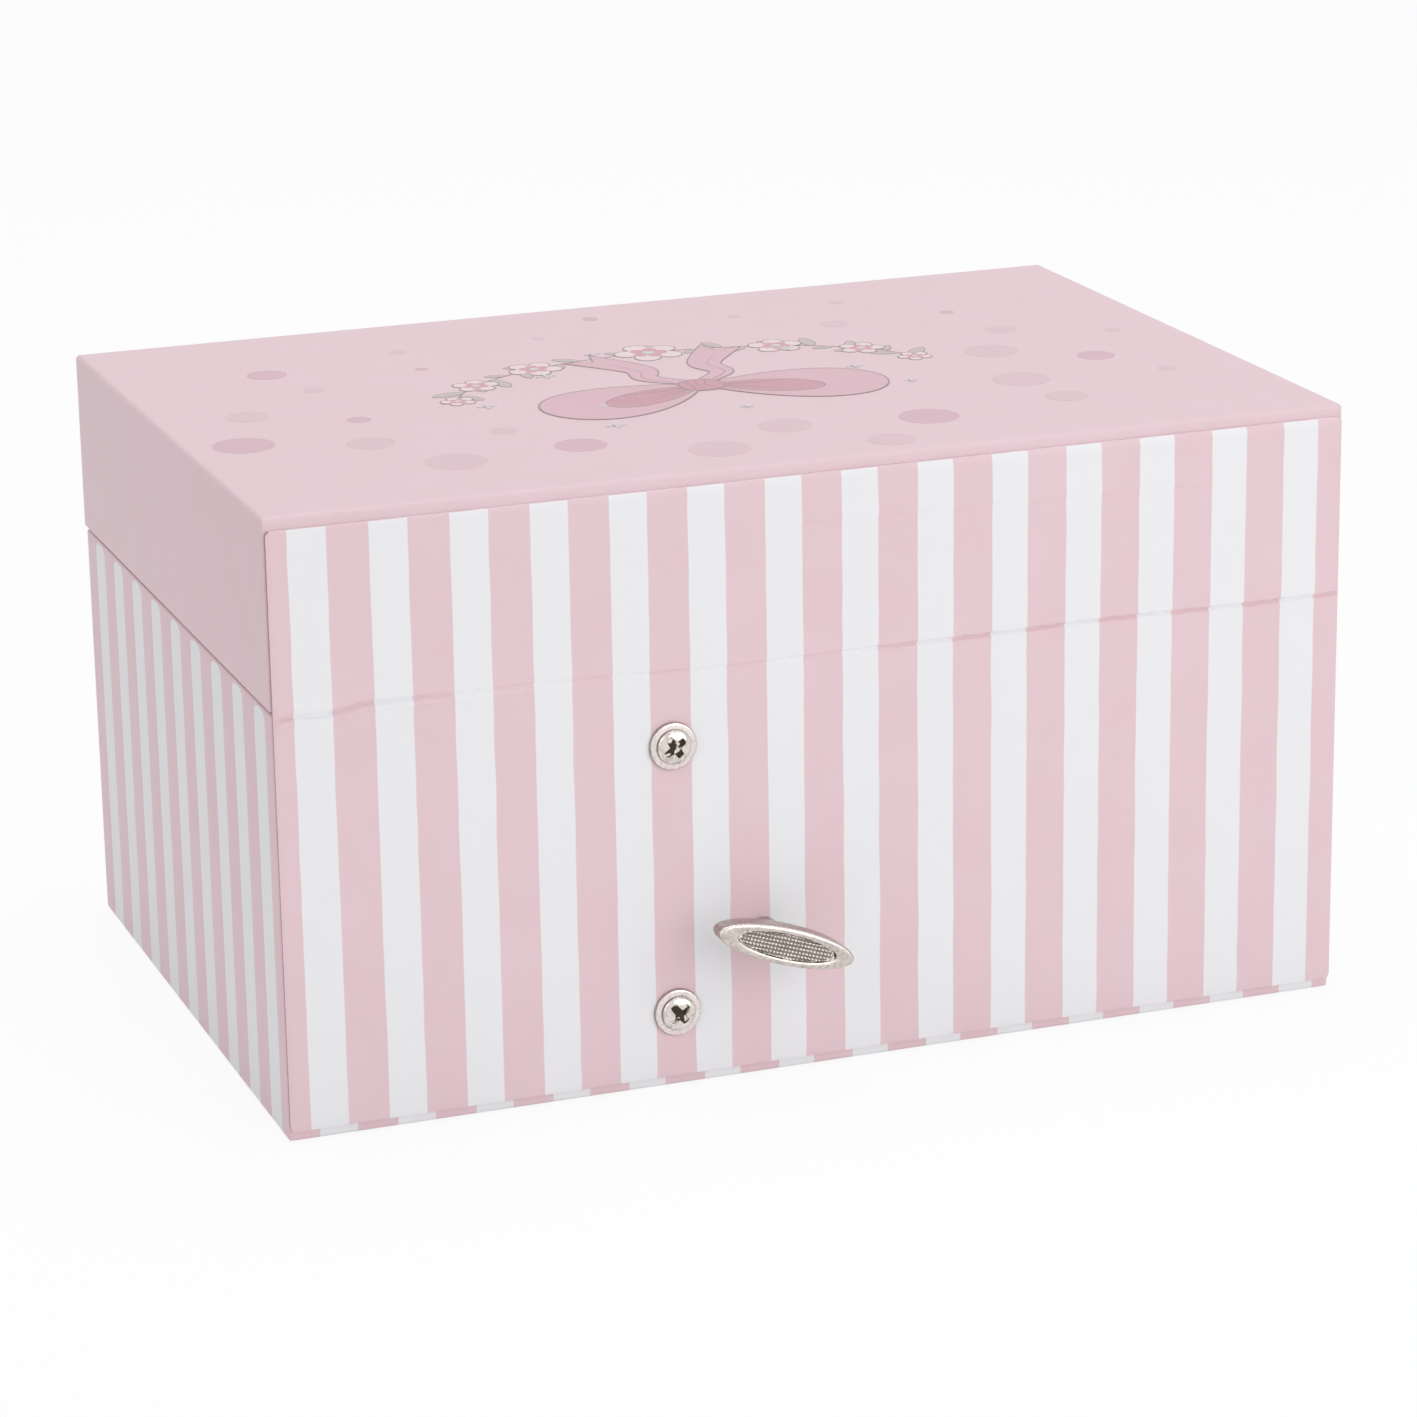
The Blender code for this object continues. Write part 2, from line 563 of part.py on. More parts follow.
def build_drum():
    place = (drum_x, drum_y, 0)
    hole = SPINDLE_RADIUS + BORE_GAP
    seat_z0 = deck_z1 + SEAM
    seat_z1 = seat_z0 + SEAT_FLANGE
    profile = [(0, seat_z1 - RUN), (SPINDLE_RADIUS, seat_z1 - RUN), (SPINDLE_RADIUS, crown_z0), (0, crown_z0)]
    add("drum_spindle", turned(profile, 12), "steel", "Z", place, True)

    inner = crown_radius - RING_WIDTH / 2 - BORE_GAP
    outer = crown_radius + RING_WIDTH / 2 + BORE_GAP
    disc = [(hole, crown_z1), (outer, crown_z1), (outer, crown_z0), (inner, crown_z0), (hole, crown_z0)]
    bm = turned(disc, 2 * CROWN_TEETH, True)
    teeth = []
    for face in bm.faces:
        spot = face.calc_center_median()
        reach = math.hypot(spot.x, spot.y)
        step = math.floor(math.atan2(spot.y, spot.x) / (math.pi / CROWN_TEETH))
        if face.normal.z < -0.5 and reach > (inner + hole) / 2 + RUN and step % 2 == 0:
            teeth.append(face)
    raise_faces(bm, teeth, 0.26 * CROWN_MODULE, crown_z0 - crown_tip, 0.66)
    crown = add("crown_wheel", bm, "brass", "Z", place)
    gap = -math.pi / 2 + 0.5 * math.pi / CROWN_TEETH
    first_gap = 1.5 * math.pi / CROWN_TEETH
    crown.data.transform(Matrix.Rotation(gap - 0.5 * math.pi / CROWN_TEETH - first_gap, 4, "Z"))

    rows = [drum_z1 - k * DRUM_LENGTH / NOTES for k in range(NOTES + 1)]
    wall = [(hole, drum_z0), (hole, drum_z1)] + [(DRUM_RADIUS, z) for z in rows]
    bm = turned(wall, 30, True)
    pins = []
    for face in bm.faces:
        spot = face.calc_center_median()
        if abs(face.normal.z) > 0.5 or math.hypot(spot.x, spot.y) < DRUM_RADIUS / 2:
            continue
        row = int((drum_z1 - spot.z) / DRUM_LENGTH * NOTES)
        column = int((math.atan2(spot.y, spot.x) + math.pi) / (2 * math.pi) * 30)
        if (7 * row + 11 * column) % 10 == 0:
            pins.append(face)
    raise_faces(bm, pins, 0.2 * DRUM_LENGTH / NOTES, PIN, 0.7)
    add("drum", bm, "brass", "Z", place)

    wheel = gear_outline(DRUM_GEAR_TEETH, TRAIN_MODULE, train_add, train_ded, 0)
    add("drum_gear", slab(wheel, [circle(0, 0, hole, 12)], gear_z0, gear_z1), "brass", "Z", place)
    boss = COIL_RADIUS - COIL_WIRE - 2 * RUN
    top = coil_z + 2 * COIL_WIRE
    ring = [(0, top), (boss, top), (boss, seat_z1), (COIL_RADIUS + 2 * COIL_WIRE, seat_z1)]
    ring += [(COIL_RADIUS + 2 * COIL_WIRE, seat_z0), (hole, seat_z0), (hole, seat_z1 - SEAM), (0, seat_z1 - SEAM)]
    add("spring_seat", turned(ring, 16), "nylon", "Z", place, True)


def build_governor():
    hole = TRAIN_ARBOR + BORE_GAP
    x0 = idler_x - FRAME_EDGE
    x1 = fly_x + FRAME_EDGE
    y0 = bed_face + SEAM
    y1 = drum_y + FRAME_EDGE
    z1 = frame_z1 + FRAME
    low = frame_z0 + FRAME
    c_shape = [(y0, frame_z0), (y1, frame_z0), (y1, low), (y0 + FRAME, low)]
    c_shape += [(y0 + FRAME, frame_z1), (y1, frame_z1), (y1, z1), (y0, z1)]
    frame = add("governor_frame", slab(c_shape, [], x0, x1), "steel", "X")
    for x in (idler_x, fly_x):
        bore(frame, x, drum_y, (frame_z0 + z1) / 2, hole, 2 * (z1 - frame_z0), "Z", 12)
    for label, x in (("idler_arbor", idler_x), ("fly_arbor", fly_x)):
        shaft = slab(circle(0, 0, TRAIN_ARBOR, 12), [], frame_z0 + SEAM, z1 - SEAM)
        add(label, shaft, "steel", "Z", (x, drum_y, 0))
    eye = [circle(0, 0, hole, 12)]
    half_tooth = math.pi / PINION_TEETH
    pinion = gear_outline(PINION_TEETH, TRAIN_MODULE, train_add, train_ded, math.pi + half_tooth)
    wheel = gear_outline(IDLER_TEETH, TRAIN_MODULE, train_add, train_ded, 0)
    add("idler_pinion", slab(pinion, eye, gear_z0, gear_z1), "nylon", "Z", (idler_x, drum_y, 0))
    add("idler_wheel", slab(wheel, eye, wheel_z0, wheel_z1), "nylon", "Z", (idler_x, drum_y, 0))
    add("fly_pinion", slab(pinion, eye, wheel_z0, wheel_z1), "nylon", "Z", (fly_x, drum_y, 0))
    vane = FLY_VANE / 2
    side = math.asin(vane / FLY_HUB)
    right = [(FLY_HUB * math.cos(a), FLY_HUB * math.sin(a)) for a in spread(side, math.pi - side, 6)]
    left = [(-x, -y) for x, y in right]
    blade = [(FLY_RADIUS, vane), *right, (-FLY_RADIUS, vane), (-FLY_RADIUS, -vane), *left, (FLY_RADIUS, -vane)]
    add("governor_fly", slab(blade, eye, fly_z0, fly_z1), "nylon", "Z", (fly_x, drum_y, 0))


def spread(first, last, count):
    return [first + (last - first) * k / (count - 1) for k in range(count)]


def build_stop():
    tip_z = deck_z1 + LEVER_RISE
    path = [
        (arm_x1, back_in + LEVER_WIRE + RUN, tip_z),
        (arm_x1, bed_face + LEVER_BACK / 3, tip_z),
        (arm_x1, lever_y, deck_z1 + 3 * LEVER_WIRE),
        (arm_x1, lever_y, lever_z),
        (arm_x0, lever_y, lever_z),
        (arm_x0, foot_y, lever_z - 4 * LEVER_WIRE),
        (arm_x0, foot_y, (fly_z0 + fly_z1) / 2),
        (fly_x - FLY_HUB, foot_y, (fly_z0 + fly_z1) / 2),
    ]
    wire("stop_lever", rounded(path, 1.6 * LEVER_WIRE), LEVER_WIRE, "steel", (arm_x1, lever_y, lever_z))
    grip = LEVER_WIRE + BORE_GAP
    half = grip + 2 * RUN
    middle = (arm_x0 + arm_x1) / 2
    outline = [(lever_y - half, lever_z - half), (lever_y + half, lever_z - half)]
    outline += [(lever_y + half, deck_z0 - SEAM), (lever_y - half, deck_z0 - SEAM)]
    clip = slab(outline, [circle(lever_y, lever_z, grip, 12)], middle - CLIP / 2, middle + CLIP / 2)
    add("lever_clip", clip, "zinc", "X")


def build_spring():
    """The fold spring, bent a quarter turn towards the front."""
    count = COIL_TURNS * COIL_POINTS
    path = []
    for k in range(count + 1):
        bend = math.pi / 2 * k / count
        curl = 2 * math.pi * COIL_TURNS * k / count
        middle = Vector((drum_x, drum_y + coil_bend * (1 - math.cos(bend)), coil_z + coil_bend * math.sin(bend)))
        out = Vector((0, math.cos(bend), -math.sin(bend)))
        path.append(middle + COIL_RADIUS * (math.cos(curl) * Vector((1, 0, 0)) + math.sin(curl) * out))
    start = (path[0] - path[1]).normalized()
    start.z = 0
    ending = (path[-1] - path[-2]).normalized()
    ending.y = 0
    path = [path[0] + 2 * COIL_WIRE * start, *path, path[-1] + 2 * COIL_WIRE * ending]
    gaps = [
        (a - b).length - 2 * COIL_WIRE
        for i, a in enumerate(path)
        for j, b in enumerate(path)
        if j - i > COIL_POINTS // 2
    ]
    print("least gap between curls, mm:", round(min(gaps) / MM, 2))
    wire("dancer_spring", path, COIL_WIRE, "steel", (drum_x, fold_y, fold_z))


def build_dancer():
    lay = Matrix.Rotation(-math.pi / 2, 4, "X")
    place = Matrix.Translation((drum_x, tip_y, tip_z)) @ lay
    flange_z0 = COIL_WIRE + SEAM
    flange_z1 = flange_z0 + SEAT_FLANGE
    boss = COIL_RADIUS - COIL_WIRE - 2 * RUN
    flange = COIL_RADIUS + 2 * COIL_WIRE
    ring = [(0, flange_z1), (flange, flange_z1), (flange, flange_z0), (boss, flange_z0)]
    ring += [(boss, -2 * COIL_WIRE), (0, -2 * COIL_WIRE)]
    collar = add("dancer_collar", turned(ring, 16), "nylon", smooth=True)
    collar.matrix_world = place

    foot = flange_z1 + SEAM
    tall = FIGURE_HEIGHT
    shape = (
        (0.000, 0.028), (0.040, 0.036), (0.110, 0.030), (0.220, 0.040), (0.290, 0.034), (0.420, 0.052),
        (0.500, 0.066), (0.560, 0.046), (0.640, 0.060), (0.700, 0.052), (0.722, 0.022), (0.748, 0.024),
        (0.775, 0.058), (0.815, 0.070), (0.855, 0.056), (0.875, 0.036), (0.900, 0.040), (0.922, 0.024),
    )
    profile = [(r * tall, foot + h * tall) for h, r in shape]
    profile = [(0, foot + 0.93 * tall), *profile[::-1], (0, foot)]
    figure = add("dancer_figure", turned(profile, 12), "skin", smooth=True)
    figure.matrix_world = place
    for side in (1, -1):
        path = [
            (side * 0.020 * tall, 0, foot + 0.680 * tall),
            (side * 0.085 * tall, 0, foot + 0.705 * tall),
            (side * 0.150 * tall, 0.02 * tall, foot + 0.790 * tall),
            (side * 0.150 * tall, 0.03 * tall, foot + 0.880 * tall),
            (side * 0.095 * tall, 0.03 * tall, foot + 0.960 * tall),
            (side * 0.030 * tall, 0.03 * tall, foot + 0.995 * tall),
        ]
        arm = wire("tool_arm", path, 0.021 * tall, "skin")
        solid = as_mesh(arm)
        solid.matrix_world = place
        apply_tool(figure, solid, "UNION")

    waist = foot + 0.56 * tall
    neck = 0.07 * tall
    around = 6 * SKIRT_FOLDS
    bm = bmesh.new()
    loops = []
    for reach, lift in ((0.0, 1), (0.45, 1), (1.0, 1), (1.0, 0), (0.45, 0), (0.0, 0)):
        loop = []
        for k in range(around):
            a = 2 * math.pi * k / around
            r = neck + (SKIRT_RADIUS - neck) * reach
            wave = 0.1 * SKIRT_RADIUS * reach * math.cos(SKIRT_FOLDS * a)
            z = waist - 0.28 * SKIRT_RADIUS * reach**1.5 + wave + lift * SKIRT_CLOTH
            loop.append(bm.verts.new((r * math.cos(a), r * math.sin(a), z)))
        loops.append(loop)
    for one, two in zip(loops, loops[1:] + loops[:1]):
        for k in range(around):
            n = (k + 1) % around
            bm.faces.new((one[k], one[n], two[n], two[k]))
    skirt = add("dancer_skirt", bm, "tulle", smooth=True)
    skirt.matrix_world = place


def as_mesh(source):
    bpy.context.view_layer.update()
    graph = bpy.context.evaluated_depsgraph_get()
    mesh = bpy.data.meshes.new_from_object(source.evaluated_get(graph))
    bm = bmesh.new()
    bm.from_mesh(mesh)
    bmesh.ops.remove_doubles(bm, verts=bm.verts[:], dist=0.00001)
    name = source.name
    bpy.data.objects.remove(source, do_unlink=True)
    return add(name, bm, "skin")


def main():
    clear_scene()
    build_case()
    build_inside()
    build_fixings()
    build_bedplate()
    build_winding()
    build_drum()
    build_governor()
    build_stop()
    build_spring()
    build_dancer()


main()
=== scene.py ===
import math

import bmesh
import bpy
import numpy as np
from mathutils import Matrix, Vector


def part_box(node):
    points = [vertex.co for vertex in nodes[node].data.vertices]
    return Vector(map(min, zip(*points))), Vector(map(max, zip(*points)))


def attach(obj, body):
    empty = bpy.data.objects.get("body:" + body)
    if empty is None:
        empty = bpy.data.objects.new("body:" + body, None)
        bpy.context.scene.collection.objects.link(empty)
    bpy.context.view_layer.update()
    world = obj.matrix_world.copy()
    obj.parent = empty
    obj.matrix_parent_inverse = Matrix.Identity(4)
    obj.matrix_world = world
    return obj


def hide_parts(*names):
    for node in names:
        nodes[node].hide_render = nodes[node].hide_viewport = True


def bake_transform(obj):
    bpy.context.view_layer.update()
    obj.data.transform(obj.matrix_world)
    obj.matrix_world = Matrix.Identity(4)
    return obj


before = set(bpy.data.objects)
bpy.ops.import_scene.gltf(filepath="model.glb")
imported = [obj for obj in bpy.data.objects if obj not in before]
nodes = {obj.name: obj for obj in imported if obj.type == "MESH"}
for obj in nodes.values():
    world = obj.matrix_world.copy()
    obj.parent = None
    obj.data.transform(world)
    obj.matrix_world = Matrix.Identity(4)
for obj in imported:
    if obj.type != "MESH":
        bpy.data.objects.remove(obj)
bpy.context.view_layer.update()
mm = 0.001
tau = 2 * math.pi
scene = bpy.context.scene


# small tools shared by the pieces

def smoothStep(t):
    t = np.clip(t, 0, 1)
    return t * t * (3 - 2 * t)


def gridQuads(rows, cols, wrapRows=False, wrapCols=False):  # quads of a rows x cols grid of points
    r = np.arange(rows if wrapRows else rows - 1)
    c = np.arange(cols if wrapCols else cols - 1)
    r, c = np.meshgrid(r, c, indexing="ij")
    rn, cn = (r + 1) % rows, (c + 1) % cols
    quads = np.stack([r * cols + c, r * cols + cn, rn * cols + cn, rn * cols + c], -1)
    return quads.reshape(-1, 4)


def capped(rows, cols):  # the same with closed columns and a flat face over the first and the last row
    last = (rows - 1) * cols
    ends = [list(range(cols))[::-1], list(range(last, last + cols))]
    return gridQuads(rows, cols, False, True).tolist() + ends


def addPiece(name, points, faces, materials, faceSlots=None, sharp=35, uv=None):
    mesh = bpy.data.meshes.new(name)
    corners = [list(map(int, face)) for face in faces]
    mesh.from_pydata(np.asarray(points, float).reshape(-1, 3).tolist(), [], corners)
    mesh.validate()
    for m in materials:
        mesh.materials.append(m)
    if faceSlots is not None:
        mesh.polygons.foreach_set("material_index", np.asarray(faceSlots, np.int32))
    if uv is not None:
        layer = mesh.uv_layers.new(name="print")
        layer.data.foreach_set("uv", np.asarray(uv, np.float32).ravel())
    mesh.shade_smooth()
    mesh.set_sharp_from_angle(angle=math.radians(sharp))
    piece = bpy.data.objects.new(name, mesh)
    scene.collection.objects.link(piece)
    return piece


def outline(hx, hy, r, steps):  # rounded rectangle, anticlockwise: four corner arcs joined by straight sides
    a = np.linspace(0, math.pi / 2, steps + 1)
    arcs = []
    for k, (sx, sy) in enumerate(((1, 1), (-1, 1), (-1, -1), (1, -1))):
        t = a + k * math.pi / 2
        arcs.append(np.stack([sx * (hx - r) + r * np.cos(t), sy * (hy - r) + r * np.sin(t)], -1))
    return np.concatenate(arcs)


def ringStack(lo, hi, r, profile, steps=6):  # the outline drawn in by d at each height z of the profile
    middle = (np.array(lo[:2]) + np.array(hi[:2])) / 2
    half = (np.array(hi[:2]) - np.array(lo[:2])) / 2
    rings = []
    for d, z in profile:
        xy = outline(half[0] - d, half[1] - d, max(r - d, 0.08 * mm), steps) + middle
        rings.append(np.concatenate([xy, np.full((len(xy), 1), z)], -1))
    return np.stack(rings)


def fillet(d0, z0, d1, z1, turnsIn, steps=5):  # quarter round between two points of a profile
    a = np.linspace(0, math.pi / 2, steps + 1)
    if turnsIn:  # leaves along z, arrives along d
        return [(d0 + (d1 - d0) * (1 - math.cos(t)), z0 + (z1 - z0) * math.sin(t)) for t in a]
    return [(d0 + (d1 - d0) * math.sin(t), z0 + (z1 - z0) * (1 - math.cos(t))) for t in a]


def board(name, lo, hi, r, material):  # flat panel with all its edges rounded
    profile = fillet(r, lo[2], 0, lo[2] + r, False) + fillet(0, hi[2] - r, r, hi[2], True)
    rings = ringStack(lo, hi, 1.2 * r, profile, 4)
    return addPiece(name, rings, capped(*rings.shape[:2]), [material])


def tube(path, radius, sides=12):  # circle of a radius carried along a path, ends closed
    path = np.asarray(path, float)
    radius = np.broadcast_to(np.asarray(radius, float), (len(path),))
    along = np.gradient(path, axis=0)
    along /= np.linalg.norm(along, axis=1, keepdims=True)
    side = np.cross(along, np.array([0.31, 0.17, 0.93]))  # any direction that no path follows
    side /= np.linalg.norm(side, axis=1, keepdims=True)
    other = np.cross(along, side)
    a = np.arange(sides) * tau / sides
    ring = np.cos(a)[None, :, None] * side[:, None] + np.sin(a)[None, :, None] * other[:, None]
    points = path[:, None] + ring * radius[:, None, None]
    return points.reshape(-1, 3), capped(len(path), sides)


def onCircle(r, a, z, x=0.0, y=0.0):  # points at the angles a and heights z, round the middle x and y
    return np.stack(np.broadcast_arrays(x + r * np.cos(a), y + r * np.sin(a), z), -1)


def turnedGrid(profile, steps):  # (radius, height) profile turned about z
    profile = np.asarray(profile, float)
    return onCircle(profile[:, :1], np.arange(steps) * tau / steps, profile[:, 1:])


def smoothPath(points, count):  # Catmull-Rom curve through the points
    p = np.asarray(points, float)
    p = np.concatenate([2 * p[:1] - p[1:2], p, 2 * p[-1:] - p[-2:-1]])
    t = np.linspace(0, len(p) - 3 - 1e-9, count)
    k = t.astype(int)
    f = (t - k)[:, None]
    a, b, c, d = p[k], p[k + 1], p[k + 2], p[k + 3]
    bend = (2 * a - 5 * b + 4 * c - d) * f**2 + (3 * b - a - 3 * c + d) * f**3
    return 0.5 * (2 * b + (c - a) * f + bend)


def flipOut(piece):  # normals outwards on a closed piece
    bm = bmesh.new()
    bm.from_mesh(piece.data)
    bmesh.ops.recalc_face_normals(bm, faces=bm.faces[:])
    bm.to_mesh(piece.data)
    bm.free()
    return piece


# materials

def srgb(r, g, b):
    c = np.array([r, g, b]) / 255
    return (*np.where(c < 0.04045, c / 12.92, ((c + 0.055) / 1.055) ** 2.4), 1)


def darker(colour, share):
    return tuple(share * c for c in colour[:3]) + (1,)


class Finish:  # a Principled material and short ways to wire it
    def __init__(self, name, rough=0.5, metal=0.0, colour=(0.8, 0.8, 0.8, 1)):
        self.material = bpy.data.materials.new(name)
        self.material.use_nodes = True
        self.tree = self.material.node_tree
        self.shader = self.tree.nodes["Principled BSDF"]
        self.set("Roughness", rough)
        self.set("Metallic", metal)
        self.set("Base Color", colour)
        self.coords = self.tree.nodes.new("ShaderNodeTexCoord")

    def set(self, socket, value):
        self.shader.inputs[socket].default_value = value

    def node(self, kind, **inputs):
        made = self.tree.nodes.new("ShaderNode" + kind)
        for key, value in inputs.items():
            self.feed(made.inputs[key], value)
        return made

    def feed(self, socket, value):
        if isinstance(value, bpy.types.NodeSocket):
            self.tree.links.new(value, socket)
        else:
            socket.default_value = value

    def math(self, operation, a, b=0.0, c=0.0):
        made = self.tree.nodes.new("ShaderNodeMath")
        made.operation = operation
        for socket, value in zip(made.inputs, (a, b, c)):
            self.feed(socket, value)
        return made.outputs[0]

    def noise(self, scale, detail=3.0, rough=0.5, vector=None):
        made = self.node("TexNoise", Scale=scale, Detail=detail, Roughness=rough)
        self.feed(made.inputs["Vector"], vector or self.coords.outputs["Object"])
        return made.outputs["Fac"]

    def mix(self, fac, a, b):
        made = self.tree.nodes.new("ShaderNodeMix")
        made.data_type = "RGBA"
        self.feed(made.inputs["Factor"], fac)
        self.feed(made.inputs["A"], a)
        self.feed(made.inputs["B"], b)
        return made.outputs["Result"]

    def span(self, value, low, high, toLow=0.0, toHigh=1.0):
        made = self.node("MapRange")
        for key, v in zip((0, 1, 2, 3, 4), (value, low, high, toLow, toHigh)):
            self.feed(made.inputs[key], v)
        return made.outputs[0]

    def bump(self, height, strength, distance):
        made = self.node("Bump", Strength=strength, Distance=distance, Height=height)
        self.feed(self.shader.inputs["Normal"], made.outputs[0])

    def colour(self, value):
        self.feed(self.shader.inputs["Base Color"], value)

    def rough(self, value):
        self.feed(self.shader.inputs["Roughness"], value)


paper = dict(
    pink=srgb(232, 204, 211), deepPink=srgb(230, 200, 207), white=srgb(239, 239, 242),
    lidPink=srgb(232, 205, 213), lidDeep=srgb(230, 202, 209),
    bandEnd=0.483, soft=0.004, wobble=0.03, lidShadeTop=5.385, cornerDrop=0.09,  # in stripe widths
    cornerPower=3.2,
)


def paperGrain(f, fine=3200, coarse=90):  # fibres and a faint cloudiness
    fibre = f.noise(fine, 3.0, 0.65)
    cloud = f.noise(coarse, 2.0, 0.5)
    f.bump(f.math("ADD", fibre, f.math("MULTIPLY", cloud, 0.3)), 0.22, 0.03 * mm)
    f.rough(f.span(fibre, 0.3, 0.7, 0.4, 0.56))
    return f.math("ADD", f.math("MULTIPLY", cloud, 0.7), f.math("MULTIPLY", fibre, 0.3))


# painted lid shadow and pink reflection: with a top, the white stops below that height in soft corners, and
# the pink above it stands for the shade and pink light under the lid's edge
def stripedPaper(name, top=None):  # top: height, in stripe widths, where the white stops in soft corners
    f = Finish(name, 0.5)
    f.set("Specular IOR Level", 0.5)
    cloud = paperGrain(f)
    uv = f.tree.nodes.new("ShaderNodeUVMap")
    uv.uv_map = "print"
    parts = f.node("SeparateXYZ", Vector=uv.outputs[0])
    wobble = f.noise(1.3, 2.0, 0.5, uv.outputs[0])
    shift = f.math("MULTIPLY", f.math("SUBTRACT", wobble, 0.5), paper["wobble"])
    phase = f.math("FRACT", f.math("ADD", parts.outputs[0], shift))
    end, soft = paper["bandEnd"], paper["soft"]
    rise = f.span(phase, 0.0, 2 * soft)
    fall = f.span(phase, end - soft, end + soft, 1.0, 0.0)
    band = f.math("MULTIPLY", rise, fall)
    # painted lid shadow and pink reflection: the white turns to pink above the line
    if top:
        # off is 0 in the middle of the white and 1 at its sides, where the line drops
        off = f.math("ABSOLUTE", f.math("MULTIPLY_ADD", phase, 4.1, -1.0))
        line = f.math("MULTIPLY_ADD", f.math("POWER", off, paper["cornerPower"]), -paper["cornerDrop"], top)
        under = f.math("SUBTRACT", line, parts.outputs[1])
        band = f.math("MULTIPLY", band, f.span(under, -3 * soft, 3 * soft))
    rose = f.mix(f.span(cloud, 0.3, 0.7), paper["pink"], paper["deepPink"])
    f.colour(f.mix(band, rose, paper["white"]))
    return f.material


def plainPaper(name, colour, shade):
    f = Finish(name, 0.5)
    f.set("Specular IOR Level", 0.5)
    cloud = paperGrain(f)
    f.colour(f.mix(f.span(cloud, 0.3, 0.7), colour, shade))
    return f.material


def flock(name, colour, shade):  # short pile: soft sheen and a fine uneven nap
    f = Finish(name, 0.95)
    f.set("Specular IOR Level", 0.15)
    f.set("Sheen Weight", 0.45)
    f.set("Sheen Roughness", 0.4)
    nap = f.noise(900, 4.0, 0.65)
    patch = f.noise(60, 3.0, 0.5)
    f.bump(nap, 0.5, 0.25 * mm)
    tone = f.math("ADD", f.math("MULTIPLY", nap, 0.5), f.math("MULTIPLY", patch, 0.5))
    f.colour(f.mix(f.span(tone, 0.35, 0.65), shade, colour))
    return f.material


def plated(name, colour, rough, wear=0.12, pits=0.12, scale=500, dark=0.8):  # faint marks and uneven polish
    f = Finish(name, rough, 1.0, colour)
    marks = f.noise(scale, 4.0, 0.7)
    f.rough(f.span(marks, 0.3, 0.75, max(rough - wear / 2, 0.05), rough + wear))
    f.bump(marks, pits, 0.06 * mm)
    f.colour(f.mix(f.span(marks, 0.45, 0.8), colour, darker(colour, dark)))
    return f.material


def moulded(name, colour, rough=0.45):
    f = Finish(name, rough, 0.0, colour)
    grain = f.noise(700, 3.0, 0.6)
    f.bump(grain, 0.12, 0.05 * mm)
    f.colour(f.mix(f.span(grain, 0.3, 0.7), colour, darker(colour, 0.93)))
    return f.material


stripes = stripedPaper("striped_paper")
# base stripes with the painted lid shadow and pink reflection along their top
wrapStripesLidShade = stripedPaper("striped_wrap_lid_shade", paper["lidShadeTop"])
# painted shadow: a dark line on the spine sheet's side edges, where it meets the box's corners
seamShade = plainPaper("paper_seam_shadow", srgb(190, 150, 155), srgb(164, 122, 127))
cutEdge = plainPaper("paper_cut_edge", srgb(247, 238, 240), srgb(238, 216, 221))
pinkPaper = plainPaper("pink_paper", paper["lidPink"], paper["lidDeep"])
backingPaper = plainPaper("backing_paper", srgb(236, 230, 230), srgb(230, 223, 224))
velvet = flock("rose_flock", srgb(232, 190, 202), srgb(220, 172, 187))
nickel = plated("nickel_plate", srgb(216, 208, 201), 0.2)
nickelHead = plated("nickel_screw", srgb(224, 216, 210), 0.16, 0.1, 0.3, 1000, 0.42)
nickelSheet = plated("nickel_washer", srgb(232, 221, 218), 0.26, 0.2, 0.3, 1700, 0.5)
# painted shade: darker plate for the washer's outer rim and the ring round the screw head
nickelShade = plated("nickel_painted_shade", srgb(186, 174, 167), 0.3, 0.2, 0.4, 2600, 0.28)
nickelCast = plated("nickel_cast", srgb(213, 203, 196), 0.24, 0.2, 0.18, 1800, 0.42)
nickelStud = plated("nickel_stud", srgb(236, 229, 222), 0.22, 0.15, 0.1, 900, 0.7)
# painted shade: darker plate for the key's flank
nickelFlankShade = plated("nickel_flank_shade", srgb(190, 178, 171), 0.3, 0.2, 0.2, 1500, 0.5)
nickelPanel = plated("nickel_panel", srgb(134, 126, 120), 0.3)


def facetedRecess(name):  # patches of bright and dark plate, as the slopes of a small recess mirror the room
    f = Finish(name, 0.2, 1.0)
    patch = f.noise(900, 1.0, 0.4)
    f.rough(f.span(patch, 0.3, 0.7, 0.14, 0.3))
    f.bump(patch, 0.3, 0.1 * mm)
    f.colour(f.mix(f.span(patch, 0.53, 0.6), srgb(66, 59, 50), srgb(228, 221, 214)))
    return f.material


nickelRecess = facetedRecess("nickel_recess")
steel = plated("bright_steel", (0.55, 0.55, 0.57, 1), 0.3)
brass = plated("turned_brass", (0.74, 0.55, 0.25, 1), 0.3)
zinc = plated("cast_zinc", (0.52, 0.53, 0.55, 1), 0.5)
nylon = moulded("white_nylon", srgb(232, 229, 222))
satin = plainPaper("satin_lining", srgb(238, 214, 220), srgb(234, 207, 214))
skin = moulded("figure_skin", srgb(240, 208, 192), 0.5)
roseSatin = moulded("rose_satin", srgb(226, 150, 172), 0.35)
hairBrown = moulded("brown_hair", srgb(110, 76, 56), 0.5)
glassEdge = plated("glass_edge", (0.55, 0.62, 0.60, 1), 0.2)


def silverGlass(name):  # clean silvering with a barely uneven polish
    f = Finish(name, 0.02, 1.0, (0.87, 0.89, 0.89, 1))
    f.rough(f.span(f.noise(14, 2.0, 0.5), 0.3, 0.7, 0.012, 0.03))
    return f.material


silvered = silverGlass("silvered_glass")


def paintedFace(name):
    f = Finish(name, 0.45)
    paint = f.tree.nodes.new("ShaderNodeVertexColor")
    paint.layer_name = "paint"
    f.colour(paint.outputs["Color"])
    f.bump(f.noise(900, 3.0, 0.6), 0.08, 0.04 * mm)
    return f.material


